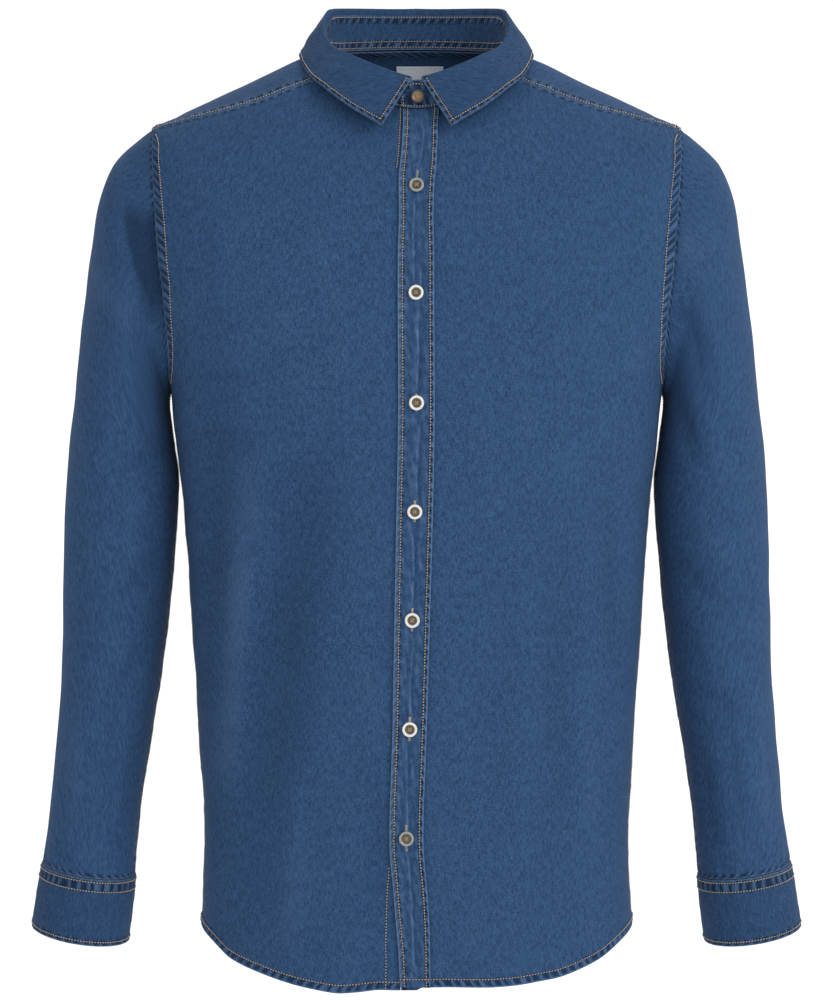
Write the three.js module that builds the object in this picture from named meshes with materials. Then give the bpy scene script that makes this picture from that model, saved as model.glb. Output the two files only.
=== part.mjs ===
import * as THREE from 'three';

// Long-sleeved denim shirt, filled out as if worn, in millimetres.
// +Z is up, -Y is the front, +X is the wearer's left. The origin is in the middle of
// the neck, level with the high points of the shoulders.

// Driving sizes
const CLOTH = 1.5;
const SEAM_GAP = 0.2;
const SLEEVE_SEAM_GAP = 0.9;
const LAYER_GAP = 0.3;
const SEAM_STRIP = 10;
const STRIP_RISE = 0.8;
const HEM_WIDTH = 7;
const PLACKET_WIDTH = 29;
const PLACKET_THICKNESS = 1.6;
const PLACKET_LIFT = 0.6;
const BAND_WIDTH = 23;
const STAND_THICKNESS = 1.8;
const STAND_OVERLAP = 13;
const STAND_END_DROP = 4;
const FALL_THICKNESS = 1.8;
const CUFF_THICKNESS = 2.2;
const CUFF_OVERLAP = 22;
const BUTTON_RADIUS = 6.2;
const STAND_BUTTON_RADIUS = 5.6;
const CUFF_BUTTON_RADIUS = 5.6;
const BUTTON_THICKNESS = 2.6;
const BUTTON_SEAT = 0.4;
const FIRST_BUTTON = -113;
const BUTTON_PITCH = 86.5;
const FRONT_BUTTONS = 7;
const LABEL_WIDTH = 41;
const LABEL_HEIGHT = 24;
const LABEL_THICKNESS = 0.8;
const LABEL_TOP = 4;
const LABEL_SEAT = 0.8;

// Mesh steps
const SLOPE_ROWS = 5;
const CREST_SHARES = [0.2, 0.55, 1];
const SHOULDER_ROWS = SLOPE_ROWS + CREST_SHARES.length;
const ARMHOLE_STEPS = 24;
const BODY_ROWS = 9;
const FRONT_COLUMNS = 8;
const PANEL_SPAN = 190;
const BACK_COLUMNS = 14;
const BUTTON_SEGMENTS = 14;

const RAD = Math.PI / 180;
const DENIM = { color: 0x35567f, roughness: 0.9, metalness: 0 };
const DARK_DENIM = { color: 0x2d4a70, roughness: 0.92, metalness: 0 };
const LIGHT_DENIM = { color: 0x3d6090, roughness: 0.9, metalness: 0 };
const HORN = { color: 0xb8ab90, roughness: 0.45, metalness: 0 };
const DARK_HORN = { color: 0x4a3628, roughness: 0.45, metalness: 0 };
const LABEL_CLOTH = { color: 0xdfe3ea, roughness: 0.8, metalness: 0 };

// Body rings, from the neck down to the hem. A ring crosses the shoulder or the side
// at "side", the middle of the front at "front" and the middle of the back at "back".
const BODY_COLUMNS = ['side', 'front', 'back', 'halfWidth', 'frontDepth', 'backDepth', 'square', 'bow'];
const BODY = table(BODY_COLUMNS, [
  [9, -47, 18.5, 70, 66, 62, 2.0, 1.4],
  [4, -58, 8, 92, 76, 74, 2.05, 1.6],
  [-13, -80, -16, 128, 89, 88, 2.15, 1.9],
  [-30, -103, -42, 164, 99, 98, 2.3, 2.0],
  [-46, -126, -70, 198, 106, 104, 2.5, 2.1],
  [-57, -144, -92, 219, 110, 107, 2.7, 2.2],
  [-90, -172, -124, 223, 113, 109, 2.95, 2.2],
  [-140, -205, -170, 222, 116, 111, 3.1, 2.1],
  [-200, -242, -221, 215, 118, 111, 3.0, 2.0],
  [-272, -290, -280, 203, 118, 109, 2.7, 2.0],
  [-320, -330, -324, 198.5, 117, 107, 2.5, 2.0],
  [-363, -368, -365, 192.8, 115, 105, 2.45, 2.0],
  [-463, -465, -464, 186, 112, 103, 2.4, 2.0],
  [-563, -566, -565, 179.3, 112, 105, 2.4, 2.0],
  [-640, -650, -648, 175.2, 114, 109, 2.4, 2.0],
  [-690, -712, -708, 176.5, 116, 112, 2.4, 1.95],
  [-716, -754.5, -748, 177.5, 117, 114, 2.4, 1.92],
]);
const NECK_KEY = 9;
const CREST_KEY = -50;
const CREST_SOFTNESS = 26;
const HEM_KEY = -716;

// The armhole is an oval in ring height and angle, from the shoulder tip to the armpit.
const ARMHOLE_TOP = -57;
const ARMHOLE_BOTTOM = -272;
const ARMHOLE_SPREAD = 31 * RAD;
const ARMHOLE_UPPER_POWER = 0.45;
const ARMHOLE_LOWER_POWER = 0.8;
const ARMHOLE_CROWDING = 0.28;
const ARMHOLE_CENTRE = (ARMHOLE_TOP + ARMHOLE_BOTTOM) / 2;
const ARMHOLE_REACH = (ARMHOLE_TOP - ARMHOLE_BOTTOM) / 2;
const YOKE_NECK_ANGLE = -30 * RAD;
const YOKE_FRONT_STEP = 1;
const YOKE_BACK_STEP = -5;

// The forward shoulder seam bows towards the front between the neck and the armhole.
const FORWARD_BOW = 7 * RAD;
const FORWARD_BOW_SHARES = [1, 0.45, 0.1];

// Middle line of the front edges, which wanders sideways on the way down.
const FRONT_LINE = table(['height', 'x'], [
  [-40, 4],
  [-80, 2.6],
  [-113, 0],
  [-200, -0.4],
  [-286, 0],
  [-372, -1.4],
  [-459, -3.4],
  [-546, -5.4],
  [-632, -8],
  [-680, -4.5],
  [-720, -2],
  [-760, -0.8],
]);

// Sleeve sections, from the armhole down to the cuff. Each runs from an outer point to an
// inner point, with half its depth, the middle of its depth, and how far its front hangs lower.
const SLEEVE_COLUMNS = ['step', 'outerX', 'outerZ', 'innerX', 'innerZ', 'halfDepth', 'middleY', 'drop'];
const SLEEVE = table(SLEEVE_COLUMNS, [
  [0, 219.5, -57.5, 204.0, -272.5, 66, 0, 0],
  [1, 237, -70, 204.8, -277, 67, 0, 0],
  [2, 251, -86, 205.2, -282, 67.5, 0, 0],
  [3, 261.5, -112, 205.0, -288, 67, 0, 0],
  [4, 268.5, -150, 204.2, -295, 66, 1, 0],
  [5, 275.5, -203, 202.8, -305, 64.5, 2, 0],
  [6, 283, -272, 200.6, -322, 61.5, 3, 0],
  [7, 290.5, -347, 197.6, -350, 59, 5, 0],
  [8, 293, -413, 201.7, -413, 56.5, 7, 0],
  [9, 294, -463, 206.7, -463, 54, 8, 0],
  [10, 295.5, -513, 213.3, -515, 51.5, 7, 0],
  [11, 299, -563, 221.6, -567, 49, 4, 0.6],
  [12, 303, -613, 229, -620, 46, 0, 1.6],
  [13, 309, -662, 233.6, -673.5, 42.5, -5, 3.3],
]);
const SLEEVE_END = 13;
const SEAM_BLEND = 2;
const CUFF = table(SLEEVE_COLUMNS, [
  [0, 309.6, -662.6, 233.0, -674.1, 43, -5, 3.3],
  [1, 312.6, -679, 234.2, -691.5, 42.8, -5.5, 3.8],
  [2, 315.2, -696, 236.2, -709, 42, -6.5, 4.4],
  [3, 317.5, -713.5, 238.5, -727, 41.2, -8, 5],
]);
const CUFF_OPENING = 250 * RAD;

// Height of the collar's fold round the neck, by angle from the side, front to back.
const FOLD_HEIGHT = table(['angle', 'height'], [
  [-90, -26],
  [-75, -19.5],
  [-60, -11.5],
  [-45, -3],
  [-30, 4.5],
  [-12, 18.5],
  [0, 30],
  [12, 37.5],
  [20, 43.5],
  [30, 46.1],
  [60, 49.7],
  [90, 51.1],
]);
const FOLD_HALF_WIDTH = 76.5;
const FOLD_FRONT_DEPTH = 66;
const FOLD_BACK_DEPTH = 64;

// Outer edge of the collar's fall, by the angle of the fold that it hangs from.
const FALL_EDGE = table(['angle', 'x', 'y', 'z'], [
  [-85.5, 27.8, -92, -65],
  [-70, 46, -86, -53.4],
  [-54, 60, -78, -43.6],
  [-38, 75, -64.5, -30.6],
  [-22, 86, -46, -20],
  [-8, 93.5, -24, -7],
  [6, 97, 2, 5],
  [28, 93, 37, 11],
  [55, 62, 69, 13],
  [90, 0, 84, 13],
]);
const FALL_FRONT_ANGLE = -87;

function table(columns, rows) {
  return { columns, rows };
}

// Smooth value of every column between the rows, by the first column.
function lookup(source, key) {
  const rows = source.rows;
  const rising = rows[1][0] > rows[0][0];
  const order = rising ? 1 : -1;
  let i = 0;
  while (i < rows.length - 2 && (key - rows[i + 1][0]) * order > 0) i += 1;
  const before = rows[Math.max(i - 1, 0)];
  const low = rows[i];
  const high = rows[i + 1];
  const after = rows[Math.min(i + 2, rows.length - 1)];
  const span = high[0] - low[0];
  const t = THREE.MathUtils.clamp((key - low[0]) / span, 0, 1);
  const result = {};
  source.columns.forEach((name, c) => {
    const middle = (high[c] - low[c]) / span;
    const lead = i > 0 ? (low[c] - before[c]) / (low[0] - before[0]) : middle;
    const trail = i < rows.length - 2 ? (after[c] - high[c]) / (after[0] - high[0]) : middle;
    const startSlope = tangent(lead, middle) * span;
    const endSlope = tangent(middle, trail) * span;
    result[name] = hermite(low[c], high[c], startSlope, endSlope, t);
  });
  return result;
}

// Slope between two neighbouring slopes, flat where they turn, so that no column overshoots.
function tangent(a, b) {
  if (a * b <= 0) return 0;
  return (2 * a * b) / (a + b);
}

function hermite(a, b, slopeA, slopeB, t) {
  const t2 = t * t;
  const t3 = t2 * t;
  return a * (2 * t3 - 3 * t2 + 1) + slopeA * (t3 - 2 * t2 + t) + b * (3 * t2 - 2 * t3) + slopeB * (t3 - t2);
}

function lerp(a, b, t) {
  return a + (b - a) * t;
}

// Body surface at an angle round the ring (0 is the wearer's left side, -90 the front).
// Away from the sides the crest of the shoulder is softened into the chest and back.
function bodyBase(angle, key) {
  const room = Math.min(NECK_KEY - key, key - HEM_KEY);
  const reach = Math.min(CREST_SOFTNESS * Math.abs(Math.sin(angle)), room);
  const point = ringAt(angle, key).multiplyScalar(2);
  point.add(ringAt(angle, key + reach)).add(ringAt(angle, key - reach));
  return point.multiplyScalar(0.25);
}

function ringAt(angle, key) {
  const ring = lookup(BODY, key);
  const c = Math.cos(angle);
  const s = Math.sin(angle);
  const n = ring.square;
  const radial = (Math.abs(c) ** n + Math.abs(s) ** n) ** (-1 / n);
  const inFront = s < 0;
  const depth = inFront ? ring.frontDepth : ring.backDepth;
  const end = inFront ? ring.front : ring.back;
  const share = Math.min(radial * Math.abs(s), 1);
  const x = ring.halfWidth * radial * c;
  const y = depth * radial * s;
  const z = key + (end - key) * share ** ring.bow;
  return new THREE.Vector3(x, y, z);
}

function bodyNormal(angle, key) {
  const da = 0.012;
  const dk = 0.6;
  const top = Math.min(key + dk, NECK_KEY);
  const low = Math.max(key - dk, HEM_KEY);
  const along = bodyBase(angle + da, key).sub(bodyBase(angle - da, key));
  const down = bodyBase(angle, low).sub(bodyBase(angle, top));
  return down.cross(along).normalize();
}

// The largest folds of the body, each a soft trough or ridge that runs between two heights.
const BODY_FOLDS = [
  { x: [-96, -122], z: [-300, -735], width: 26, depth: -5.5, front: true },
  { x: [-134, -148], z: [-330, -640], width: 15, depth: 3.5, front: true },
  { x: [-160, -166], z: [-250, -560], width: 13, depth: -3.5, front: true },
  { x: [120, 104], z: [-330, -730], width: 24, depth: -3, front: true },
  { x: [-92, -118], z: [-190, -700], width: 26, depth: -4.5, front: false },
  { x: [70, 96], z: [-220, -720], width: 26, depth: -4.5, front: false },
];

function foldAmount(point) {
  let amount = 0;
  for (const fold of BODY_FOLDS) {
    if ((point.y < 0) !== fold.front) continue;
    const along = (point.z - fold.z[0]) / (fold.z[1] - fold.z[0]);
    if (along <= 0 || along >= 1) continue;
    const across = (point.x - lerp(fold.x[0], fold.x[1], along)) / fold.width;
    amount += fold.depth * Math.sin(Math.PI * along) ** 1.4 * Math.exp(-across * across);
  }
  return amount;
}

function bodyPoint(angle, key, lift) {
  const base = bodyBase(angle, key);
  const normal = bodyNormal(angle, key);
  return base.addScaledVector(normal, lift + foldAmount(base));
}

// Angle away from the middle of the front or back at which the ring is x from the middle.
function angleAtX(x, key) {
  const ring = lookup(BODY, key);
  const q = Math.abs(x) / ring.halfWidth;
  const t = q / (1 - q ** ring.square) ** (1 / ring.square);
  return Math.sign(x) * Math.atan(t);
}

function frontAngle(offset, key) {
  const height = lookup(BODY, key).front;
  const middle = lookup(FRONT_LINE, height).x;
  return -90 * RAD + angleAtX(middle + offset, key);
}

// Height keys of the shoulder rows: closer together near the neck, then over the crest
// of the shoulder to where the piece ends.
function shoulderKey(row, topKey, endKey) {
  if (row <= SLOPE_ROWS) return lerp(topKey, CREST_KEY, (row / SLOPE_ROWS) ** 1.35);
  return lerp(CREST_KEY, endKey, CREST_SHARES[row - SLOPE_ROWS - 1]);
}

function armholeKey(turn) {
  return ARMHOLE_CENTRE + ARMHOLE_REACH * Math.cos(turn);
}

function armholeAngle(turn) {
  const s = Math.sin(turn);
  const power = Math.cos(turn) > 0 ? ARMHOLE_UPPER_POWER : ARMHOLE_LOWER_POWER;
  return -ARMHOLE_SPREAD * Math.sign(s) * Math.abs(s) ** power;
}

// Steps round the armhole crowd together at its top and bottom, where it bends most.
function armholeTurn(step) {
  const turn = (step / ARMHOLE_STEPS) * 2 * Math.PI;
  return turn - ARMHOLE_CROWDING * Math.sin(2 * turn);
}

// Angle that a distance along the ring spans at the side.
function sideInset(distance, key) {
  return distance / lookup(BODY, key).halfWidth;
}

// A closed wall between an outer and an inner grid of points.
function wall(rowCount, columnCount, closed, outerAt, innerAt) {
  const points = [];
  const faces = [];
  const columns = closed ? columnCount : columnCount + 1;
  const rows = rowCount + 1;
  const innerStart = rows * columns;
  for (const at of [outerAt, innerAt]) {
    for (let i = 0; i < rows; i += 1) {
      for (let j = 0; j < columns; j += 1) points.push(at(i, j));
    }
  }
  const outer = (i, j) => i * columns + (closed ? j % columns : j);
  const inner = (i, j) => innerStart + outer(i, j);
  const quad = (a, b, c, d) => faces.push([a, b, c], [a, c, d]);
  for (let i = 0; i < rowCount; i += 1) {
    for (let j = 0; j < columnCount; j += 1) {
      quad(outer(i, j), outer(i + 1, j), outer(i + 1, j + 1), outer(i, j + 1));
      quad(inner(i, j), inner(i, j + 1), inner(i + 1, j + 1), inner(i + 1, j));
    }
  }
  for (let j = 0; j < columnCount; j += 1) {
    quad(outer(0, j), outer(0, j + 1), inner(0, j + 1), inner(0, j));
    quad(outer(rowCount, j), inner(rowCount, j), inner(rowCount, j + 1), outer(rowCount, j + 1));
  }
  if (!closed) {
    for (let i = 0; i < rowCount; i += 1) {
      quad(outer(i, 0), inner(i, 0), inner(i + 1, 0), outer(i + 1, 0));
      const last = columnCount;
      quad(outer(i, last), outer(i + 1, last), inner(i + 1, last), inner(i, last));
    }
  }
  return solid(points, faces);
}

function solid(points, faces) {
  const volume = faces.reduce((sum, [a, b, c]) => {
    const cross = new THREE.Vector3().crossVectors(points[b], points[c]);
    return sum + points[a].dot(cross);
  }, 0);
  const order = volume < 0 ? [0, 2, 1] : [0, 1, 2];
  const geometry = new THREE.BufferGeometry();
  geometry.setAttribute('position', new THREE.Float32BufferAttribute(points.flatMap((p) => [p.x, p.y, p.z]), 3));
  geometry.setIndex(faces.flatMap((face) => order.map((k) => face[k])));
  geometry.computeVertexNormals();
  return geometry;
}

const shirt = new THREE.Group();

function addPiece(name, geometry, look) {
  const mesh = new THREE.Mesh(geometry, new THREE.MeshStandardMaterial(look));
  mesh.name = name;
  shirt.add(mesh);
  return mesh;
}

// Front panels. Rows go from the neck and yoke seam, past the armhole, down to the hem.
function panelRows(firstTurnStep) {
  const rows = [];
  const lastStep = ARMHOLE_STEPS / 2;
  for (let step = firstTurnStep; step <= lastStep; step += 1) {
    const turn = armholeTurn(step);
    rows.push({ key: armholeKey(turn), edge: armholeAngle(turn), strip: stripRise(armholeKey(turn)) });
  }
  for (let i = 1; i <= BODY_ROWS; i += 1) {
    const t = i / BODY_ROWS;
    rows.push({ key: lerp(ARMHOLE_BOTTOM, HEM_KEY, t), edge: 0, strip: 0 });
  }
  const hem = rows.pop();
  const above = HEM_KEY + HEM_WIDTH;
  rows.push({ key: above + 0.8, edge: 0, strip: 0 });
  rows.push({ key: above, edge: 0, strip: 0, hem: true });
  rows.push({ ...hem, hem: true });
  return rows;
}

// The felled armhole seam stands proud, and fades out towards the armpit.
function stripRise(key) {
  const fade = THREE.MathUtils.smoothstep(key, -250, -205);
  return STRIP_RISE * fade;
}

// Column places across a front panel: 0 at the middle edge, 1 at the seam. The first step
// ends just past the placket, and the last two mark the seam strip.
function columnPlaces() {
  const first = (PLACKET_WIDTH / 2 + 2 - BAND_WIDTH / 2) / PANEL_SPAN;
  const last = 1 - (SEAM_STRIP + 1) / PANEL_SPAN;
  const places = [0];
  for (let j = 0; j <= FRONT_COLUMNS; j += 1) places.push(lerp(first, last, j / FRONT_COLUMNS));
  places.push(1 - SEAM_STRIP / PANEL_SPAN);
  places.push(1);
  return places;
}

// Each front is cut across the chest into an upper and a lower node, which keeps the
// collision pieces close to the neck. The cloth itself has no seam there.
const FRONT_SPLIT_STEP = 6;
function frontPanel(side, half) {
  const rows = [];
  const seamTurn = armholeTurn(YOKE_FRONT_STEP);
  const seamKey = armholeKey(seamTurn);
  for (let i = 0; i < SHOULDER_ROWS; i += 1) {
    const key = shoulderKey(i, NECK_KEY, seamKey);
    const t = (key - NECK_KEY) / (seamKey - NECK_KEY);
    const bow = FORWARD_BOW * Math.sin(Math.PI * t);
    rows.push({ key, edge: lerp(YOKE_NECK_ANGLE, armholeAngle(seamTurn), t) - bow, strip: 0 });
  }
  rows.push(...panelRows(YOKE_FRONT_STEP));
  const split = SHOULDER_ROWS + FRONT_SPLIT_STEP - YOKE_FRONT_STEP;
  const part = half === 'upper' ? rows.slice(0, split + 1) : rows.slice(split);
  const places = columnPlaces();
  const count = places.length - 1;
  const at = (i, j, lift, rise) => {
    const row = part[i];
    const atSplit = half === 'upper' ? i === part.length - 1 : i === 0;
    let key = row.key;
    if (i === 0) key -= SEAM_GAP;
    if (i > 0 && atSplit) key += SEAM_GAP;
    const edge = row.edge - sideInset(atSplit ? 2 * SEAM_GAP : SEAM_GAP, key);
    const start = frontAngle((side * (BAND_WIDTH + LAYER_GAP)) / 2, key);
    const mirrored = side > 0 ? start : -Math.PI - start;
    const angle = lerp(mirrored, edge, places[j]);
    const strip = j >= count - 1 ? row.strip : 0;
    const hem = row.hem && j > 0 ? STRIP_RISE : 0;
    const proud = rise ? strip + hem : 0;
    const turned = side > 0 ? angle : -Math.PI - angle;
    return bodyPoint(turned, key, lift + proud);
  };
  return wall(part.length - 1, count, false, (i, j) => at(i, j, 0, true), (i, j) => at(i, j, -CLOTH, false));
}

// The back panel hangs from the yoke seam.
function backAngles(edge) {
  const angles = [];
  for (let j = 0; j <= BACK_COLUMNS; j += 1) angles.push(lerp(edge, Math.PI - edge, j / BACK_COLUMNS));
  return angles;
}

function backPanel() {
  const rows = panelRows(-YOKE_BACK_STEP);
  const at = (i, j, lift, rise) => {
    const row = rows[i];
    const key = i === 0 ? row.key - SEAM_GAP : row.key;
    const edge = -row.edge + sideInset(SEAM_GAP, key);
    const proud = rise && row.hem ? STRIP_RISE : 0;
    return bodyPoint(backAngles(edge)[j], key, lift + proud);
  };
  return wall(rows.length - 1, BACK_COLUMNS, false, (i, j) => at(i, j, 0, true), (i, j) => at(i, j, -CLOTH, false));
}

// The yoke runs from the forward shoulder seams, over the shoulders and across the back.
function yokeColumns() {
  const right = [];
  const armholeColumns = YOKE_FRONT_STEP - YOKE_BACK_STEP;
  const backEdge = armholeAngle(armholeTurn(YOKE_BACK_STEP));
  const half = armholeColumns + BACK_COLUMNS / 2;
  for (let step = YOKE_FRONT_STEP; step > YOKE_BACK_STEP; step -= 1) {
    const turn = armholeTurn(step);
    right.push({ angle: armholeAngle(turn), key: armholeKey(turn), armhole: true });
  }
  const seamKey = armholeKey(armholeTurn(YOKE_BACK_STEP));
  const angles = backAngles(backEdge);
  for (let j = 0; j <= BACK_COLUMNS / 2; j += 1) right.push({ angle: angles[j], key: seamKey, armhole: j === 0 });
  right.forEach((column, k) => {
    column.neck = lerp(YOKE_NECK_ANGLE, 90 * RAD, k / half);
    column.bow = -FORWARD_BOW * (FORWARD_BOW_SHARES[k] ?? 0);
  });
  const left = right.slice(0, -1).reverse().map((column) => ({
    ...column,
    angle: Math.PI - column.angle,
    neck: Math.PI - column.neck,
    bow: -column.bow,
  }));
  return [...right, ...left];
}

function yoke() {
  const columns = yokeColumns();
  const last = columns.length - 1;
  const at = (i, j, lift) => {
    const column = columns[j];
    const top = NECK_KEY - SEAM_GAP;
    const low = column.key + SEAM_GAP;
    const key = shoulderKey(i, top, low);
    const t = (key - top) / (low - top);
    let angle = lerp(column.neck, column.angle, t) + column.bow * Math.sin(Math.PI * t);
    if (j === 0) angle += sideInset(SEAM_GAP, key);
    if (j === last) angle -= sideInset(SEAM_GAP, key);
    return bodyPoint(angle, key, lift);
  };
  return wall(SHOULDER_ROWS, last, false, (i, j) => at(i, j, 0), (i, j) => at(i, j, -CLOTH));
}

// Front edges: the band under, and the placket over it.
function frontStrip(leftX, rightX, columns, bottomLift, thickness, topKey) {
  const keys = [];
  const seamKey = armholeKey(armholeTurn(YOKE_FRONT_STEP));
  for (let i = 0; i <= SHOULDER_ROWS; i += 1) keys.push(shoulderKey(i, topKey, seamKey));
  for (const row of panelRows(2)) {
    if (!row.hem) keys.push(row.key);
  }
  keys.push(HEM_KEY);
  const at = (i, j, lift) => {
    const offset = lerp(leftX, rightX, j / columns);
    return bodyPoint(frontAngle(offset, keys[i]), keys[i], lift);
  };
  const top = bottomLift + thickness;
  return wall(keys.length - 1, columns, false, (i, j) => at(i, j, top), (i, j) => at(i, j, bottomLift));
}

// Neck loop, where the stand is sewn on, and fold loop, where the collar turns down.
function neckLoop(angle) {
  const s = Math.sin(angle);
  return bodyBase(angle, NECK_KEY).add(new THREE.Vector3(0, 0, SEAM_GAP * (1 + Math.abs(s))));
}

function foldLoop(angle) {
  const c = Math.cos(angle);
  const s = Math.sin(angle);
  const depth = s < 0 ? FOLD_FRONT_DEPTH : FOLD_BACK_DEPTH;
  const fromSide = Math.asin(THREE.MathUtils.clamp(s, -1, 1)) / RAD;
  return new THREE.Vector3(FOLD_HALF_WIDTH * c, depth * s, lookup(FOLD_HEIGHT, fromSide).height);
}

function loopNormal(angle) {
  return new THREE.Vector3(Math.cos(angle) / FOLD_HALF_WIDTH, Math.sin(angle) / FOLD_BACK_DEPTH, 0).normalize();
}

// The stand laps over itself at the front: the wearer's left end lies over the right end.
const STAND_COLUMNS = 38;
const STAND_ROWS = 2;
const LAP_ANGLE = Math.asin(STAND_OVERLAP / FOLD_HALF_WIDTH);
const STAND_LAP_LIFT = 2.4;
const STAND_FRONT_DROP = 0.8;
const STAND_BACK_DROP = 6;

// How far the stand's top edge lies below the fold: least at the front.
function standDrop(angle) {
  const fromFront = THREE.MathUtils.smoothstep(Math.sin(angle), -0.95, -0.3);
  return lerp(STAND_FRONT_DROP, STAND_BACK_DROP, fromFront);
}

// Direction straight out of the stand, which leans with its two loops.
function standNormal(angle) {
  const up = foldLoop(angle).sub(neckLoop(angle));
  const along = foldLoop(angle + 0.02).sub(foldLoop(angle - 0.02));
  return along.cross(up).normalize();
}

function standPoint(angle, height, lift) {
  const point = neckLoop(angle).lerp(foldLoop(angle), height);
  point.z -= height * standDrop(angle);
  return point.addScaledVector(standNormal(angle), lift);
}

function collarStand() {
  const start = -90 * RAD - LAP_ANGLE;
  const end = 270 * RAD + LAP_ANGLE;
  const at = (i, j, lift) => {
    const t = j / STAND_COLUMNS;
    const overLift = STAND_LAP_LIFT * (1 - THREE.MathUtils.smoothstep(t, 0.03, 0.2));
    const endShare = Math.min(t, 1 - t) * STAND_COLUMNS;
    const rounded = i === STAND_ROWS && endShare < 0.5 ? STAND_END_DROP : 0;
    const point = standPoint(lerp(start, end, t), i / STAND_ROWS, lift + overLift);
    point.z -= rounded;
    return point;
  };
  return wall(STAND_ROWS, STAND_COLUMNS, false, (i, j) => at(i, j, 0), (i, j) => at(i, j, -STAND_THICKNESS));
}

// The fall turns over the stand's top edge and comes down to its outer edge.
const FALL_COLUMNS = 40;
const FALL_SECTION = [
  { reach: 0, outward: -0.6, up: -0.4, under: 1 },
  { reach: 0, outward: 1.7, up: 1.4 },
  { reach: 0.06, outward: 2.4, up: 0.2 },
  { reach: 0.35, outward: 2.8, up: 0 },
  { reach: 0.7, outward: 1.4, up: 0 },
  { reach: 1, outward: 0, up: 0 },
];

function fallEdge(angle) {
  const c = Math.cos(angle);
  const s = Math.sin(angle);
  const fromSide = Math.asin(THREE.MathUtils.clamp(s, -1, 1)) / RAD;
  const edge = lookup(FALL_EDGE, fromSide);
  return new THREE.Vector3(Math.sign(c) * edge.x, edge.y, edge.z);
}

function collarFall() {
  const start = FALL_FRONT_ANGLE * RAD;
  const end = Math.PI - start;
  const centre = (i, j) => {
    const angle = lerp(start, end, j / FALL_COLUMNS);
    const section = FALL_SECTION[i];
    const point = foldLoop(angle).lerp(fallEdge(angle), section.reach);
    point.addScaledVector(loopNormal(angle), section.outward);
    point.z += section.up + LAYER_GAP + FALL_THICKNESS / 2;
    if (section.under) point.z -= standDrop(angle) - STAND_FRONT_DROP;
    return point;
  };
  const normal = (i, j) => {
    const up = centre(Math.max(i - 1, 0), j);
    const down = centre(Math.min(i + 1, FALL_SECTION.length - 1), j);
    const along = centre(i, Math.min(j + 1, FALL_COLUMNS)).sub(centre(i, Math.max(j - 1, 0)));
    return down.sub(up).cross(along).normalize();
  };
  const at = (i, j, lift) => centre(i, j).addScaledVector(normal(i, j), lift);
  const half = FALL_THICKNESS / 2;
  return wall(FALL_SECTION.length - 1, FALL_COLUMNS, false, (i, j) => at(i, j, half), (i, j) => at(i, j, -half));
}

// Sleeves. The turn is 0 at the top or outer side, 90 degrees at the front, 180 inside.
function ringPoint(source, turn, step) {
  const ring = lookup(source, step);
  const c = Math.cos(turn);
  const s = Math.sin(turn);
  const x = lerp(ring.innerX, ring.outerX, (1 + c) / 2);
  const z = lerp(ring.innerZ, ring.outerZ, (1 + c) / 2) - ring.drop * s;
  return new THREE.Vector3(x, ring.middleY - ring.halfDepth * s, z);
}

function armholePoint(turn) {
  return bodyBase(armholeAngle(turn), armholeKey(turn));
}

function sleeveBase(turn, step) {
  const ring = ringPoint(SLEEVE, turn, step);
  const blend = THREE.MathUtils.smoothstep(step, 0, SEAM_BLEND);
  return armholePoint(turn).lerp(ring, blend);
}

function sleeveNormal(turn, step) {
  const low = Math.max(step - 0.15, 0);
  const high = Math.min(step + 0.15, SLEEVE_END);
  const along = sleeveBase(turn, high).sub(sleeveBase(turn, low));
  const round = sleeveBase(turn + 0.05, step).sub(sleeveBase(turn - 0.05, step));
  return round.cross(along).normalize();
}

const SLEEVE_STEPS = [0, 0.5, 1, 2, 3, 4, 5, 6, 7, 8, 9, 10, 11, 12, SLEEVE_END];
function sleevePoint(turn, step, lift) {
  const point = sleeveBase(turn, step);
  if (step === 0) {
    const seam = sleeveBase(turn + 0.05, 0).sub(sleeveBase(turn - 0.05, 0)).normalize();
    const onward = sleeveBase(turn, 0.3).sub(point).projectOnPlane(seam).normalize();
    point.addScaledVector(onward, SLEEVE_SEAM_GAP);
  }
  return point.addScaledVector(sleeveNormal(turn, step), lift);
}

function sleeve() {
  const at = (i, j, lift) => sleevePoint(armholeTurn(j), SLEEVE_STEPS[i], lift);
  const rows = SLEEVE_STEPS.length - 1;
  return wall(rows, ARMHOLE_STEPS, true, (i, j) => at(i, j, 0), (i, j) => at(i, j, -CLOTH));
}

// The cuff laps over itself at the back of the wrist.
function cuffPoint(turn, step, lift) {
  const point = ringPoint(CUFF, turn, step);
  const middle = ringPoint(CUFF, 0, step).lerp(ringPoint(CUFF, Math.PI, step), 0.5);
  const outward = point.clone().sub(middle).setZ(0).normalize();
  return point.addScaledVector(outward, lift);
}

const CUFF_COLUMNS = 26;
const CUFF_LAP = CUFF_OVERLAP / 41;
function cuff() {
  const start = CUFF_OPENING - CUFF_LAP / 2;
  const end = start + 2 * Math.PI + CUFF_LAP;
  const at = (i, j, lift) => {
    const t = j / CUFF_COLUMNS;
    const overLift = (CUFF_THICKNESS + 0.5) * (1 - THREE.MathUtils.smoothstep(t, 0, 0.3));
    return cuffPoint(lerp(start, end, t), i, lift + overLift);
  };
  return wall(3, CUFF_COLUMNS, false, (i, j) => at(i, j, 0.6), (i, j) => at(i, j, 0.6 - CUFF_THICKNESS));
}

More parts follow.
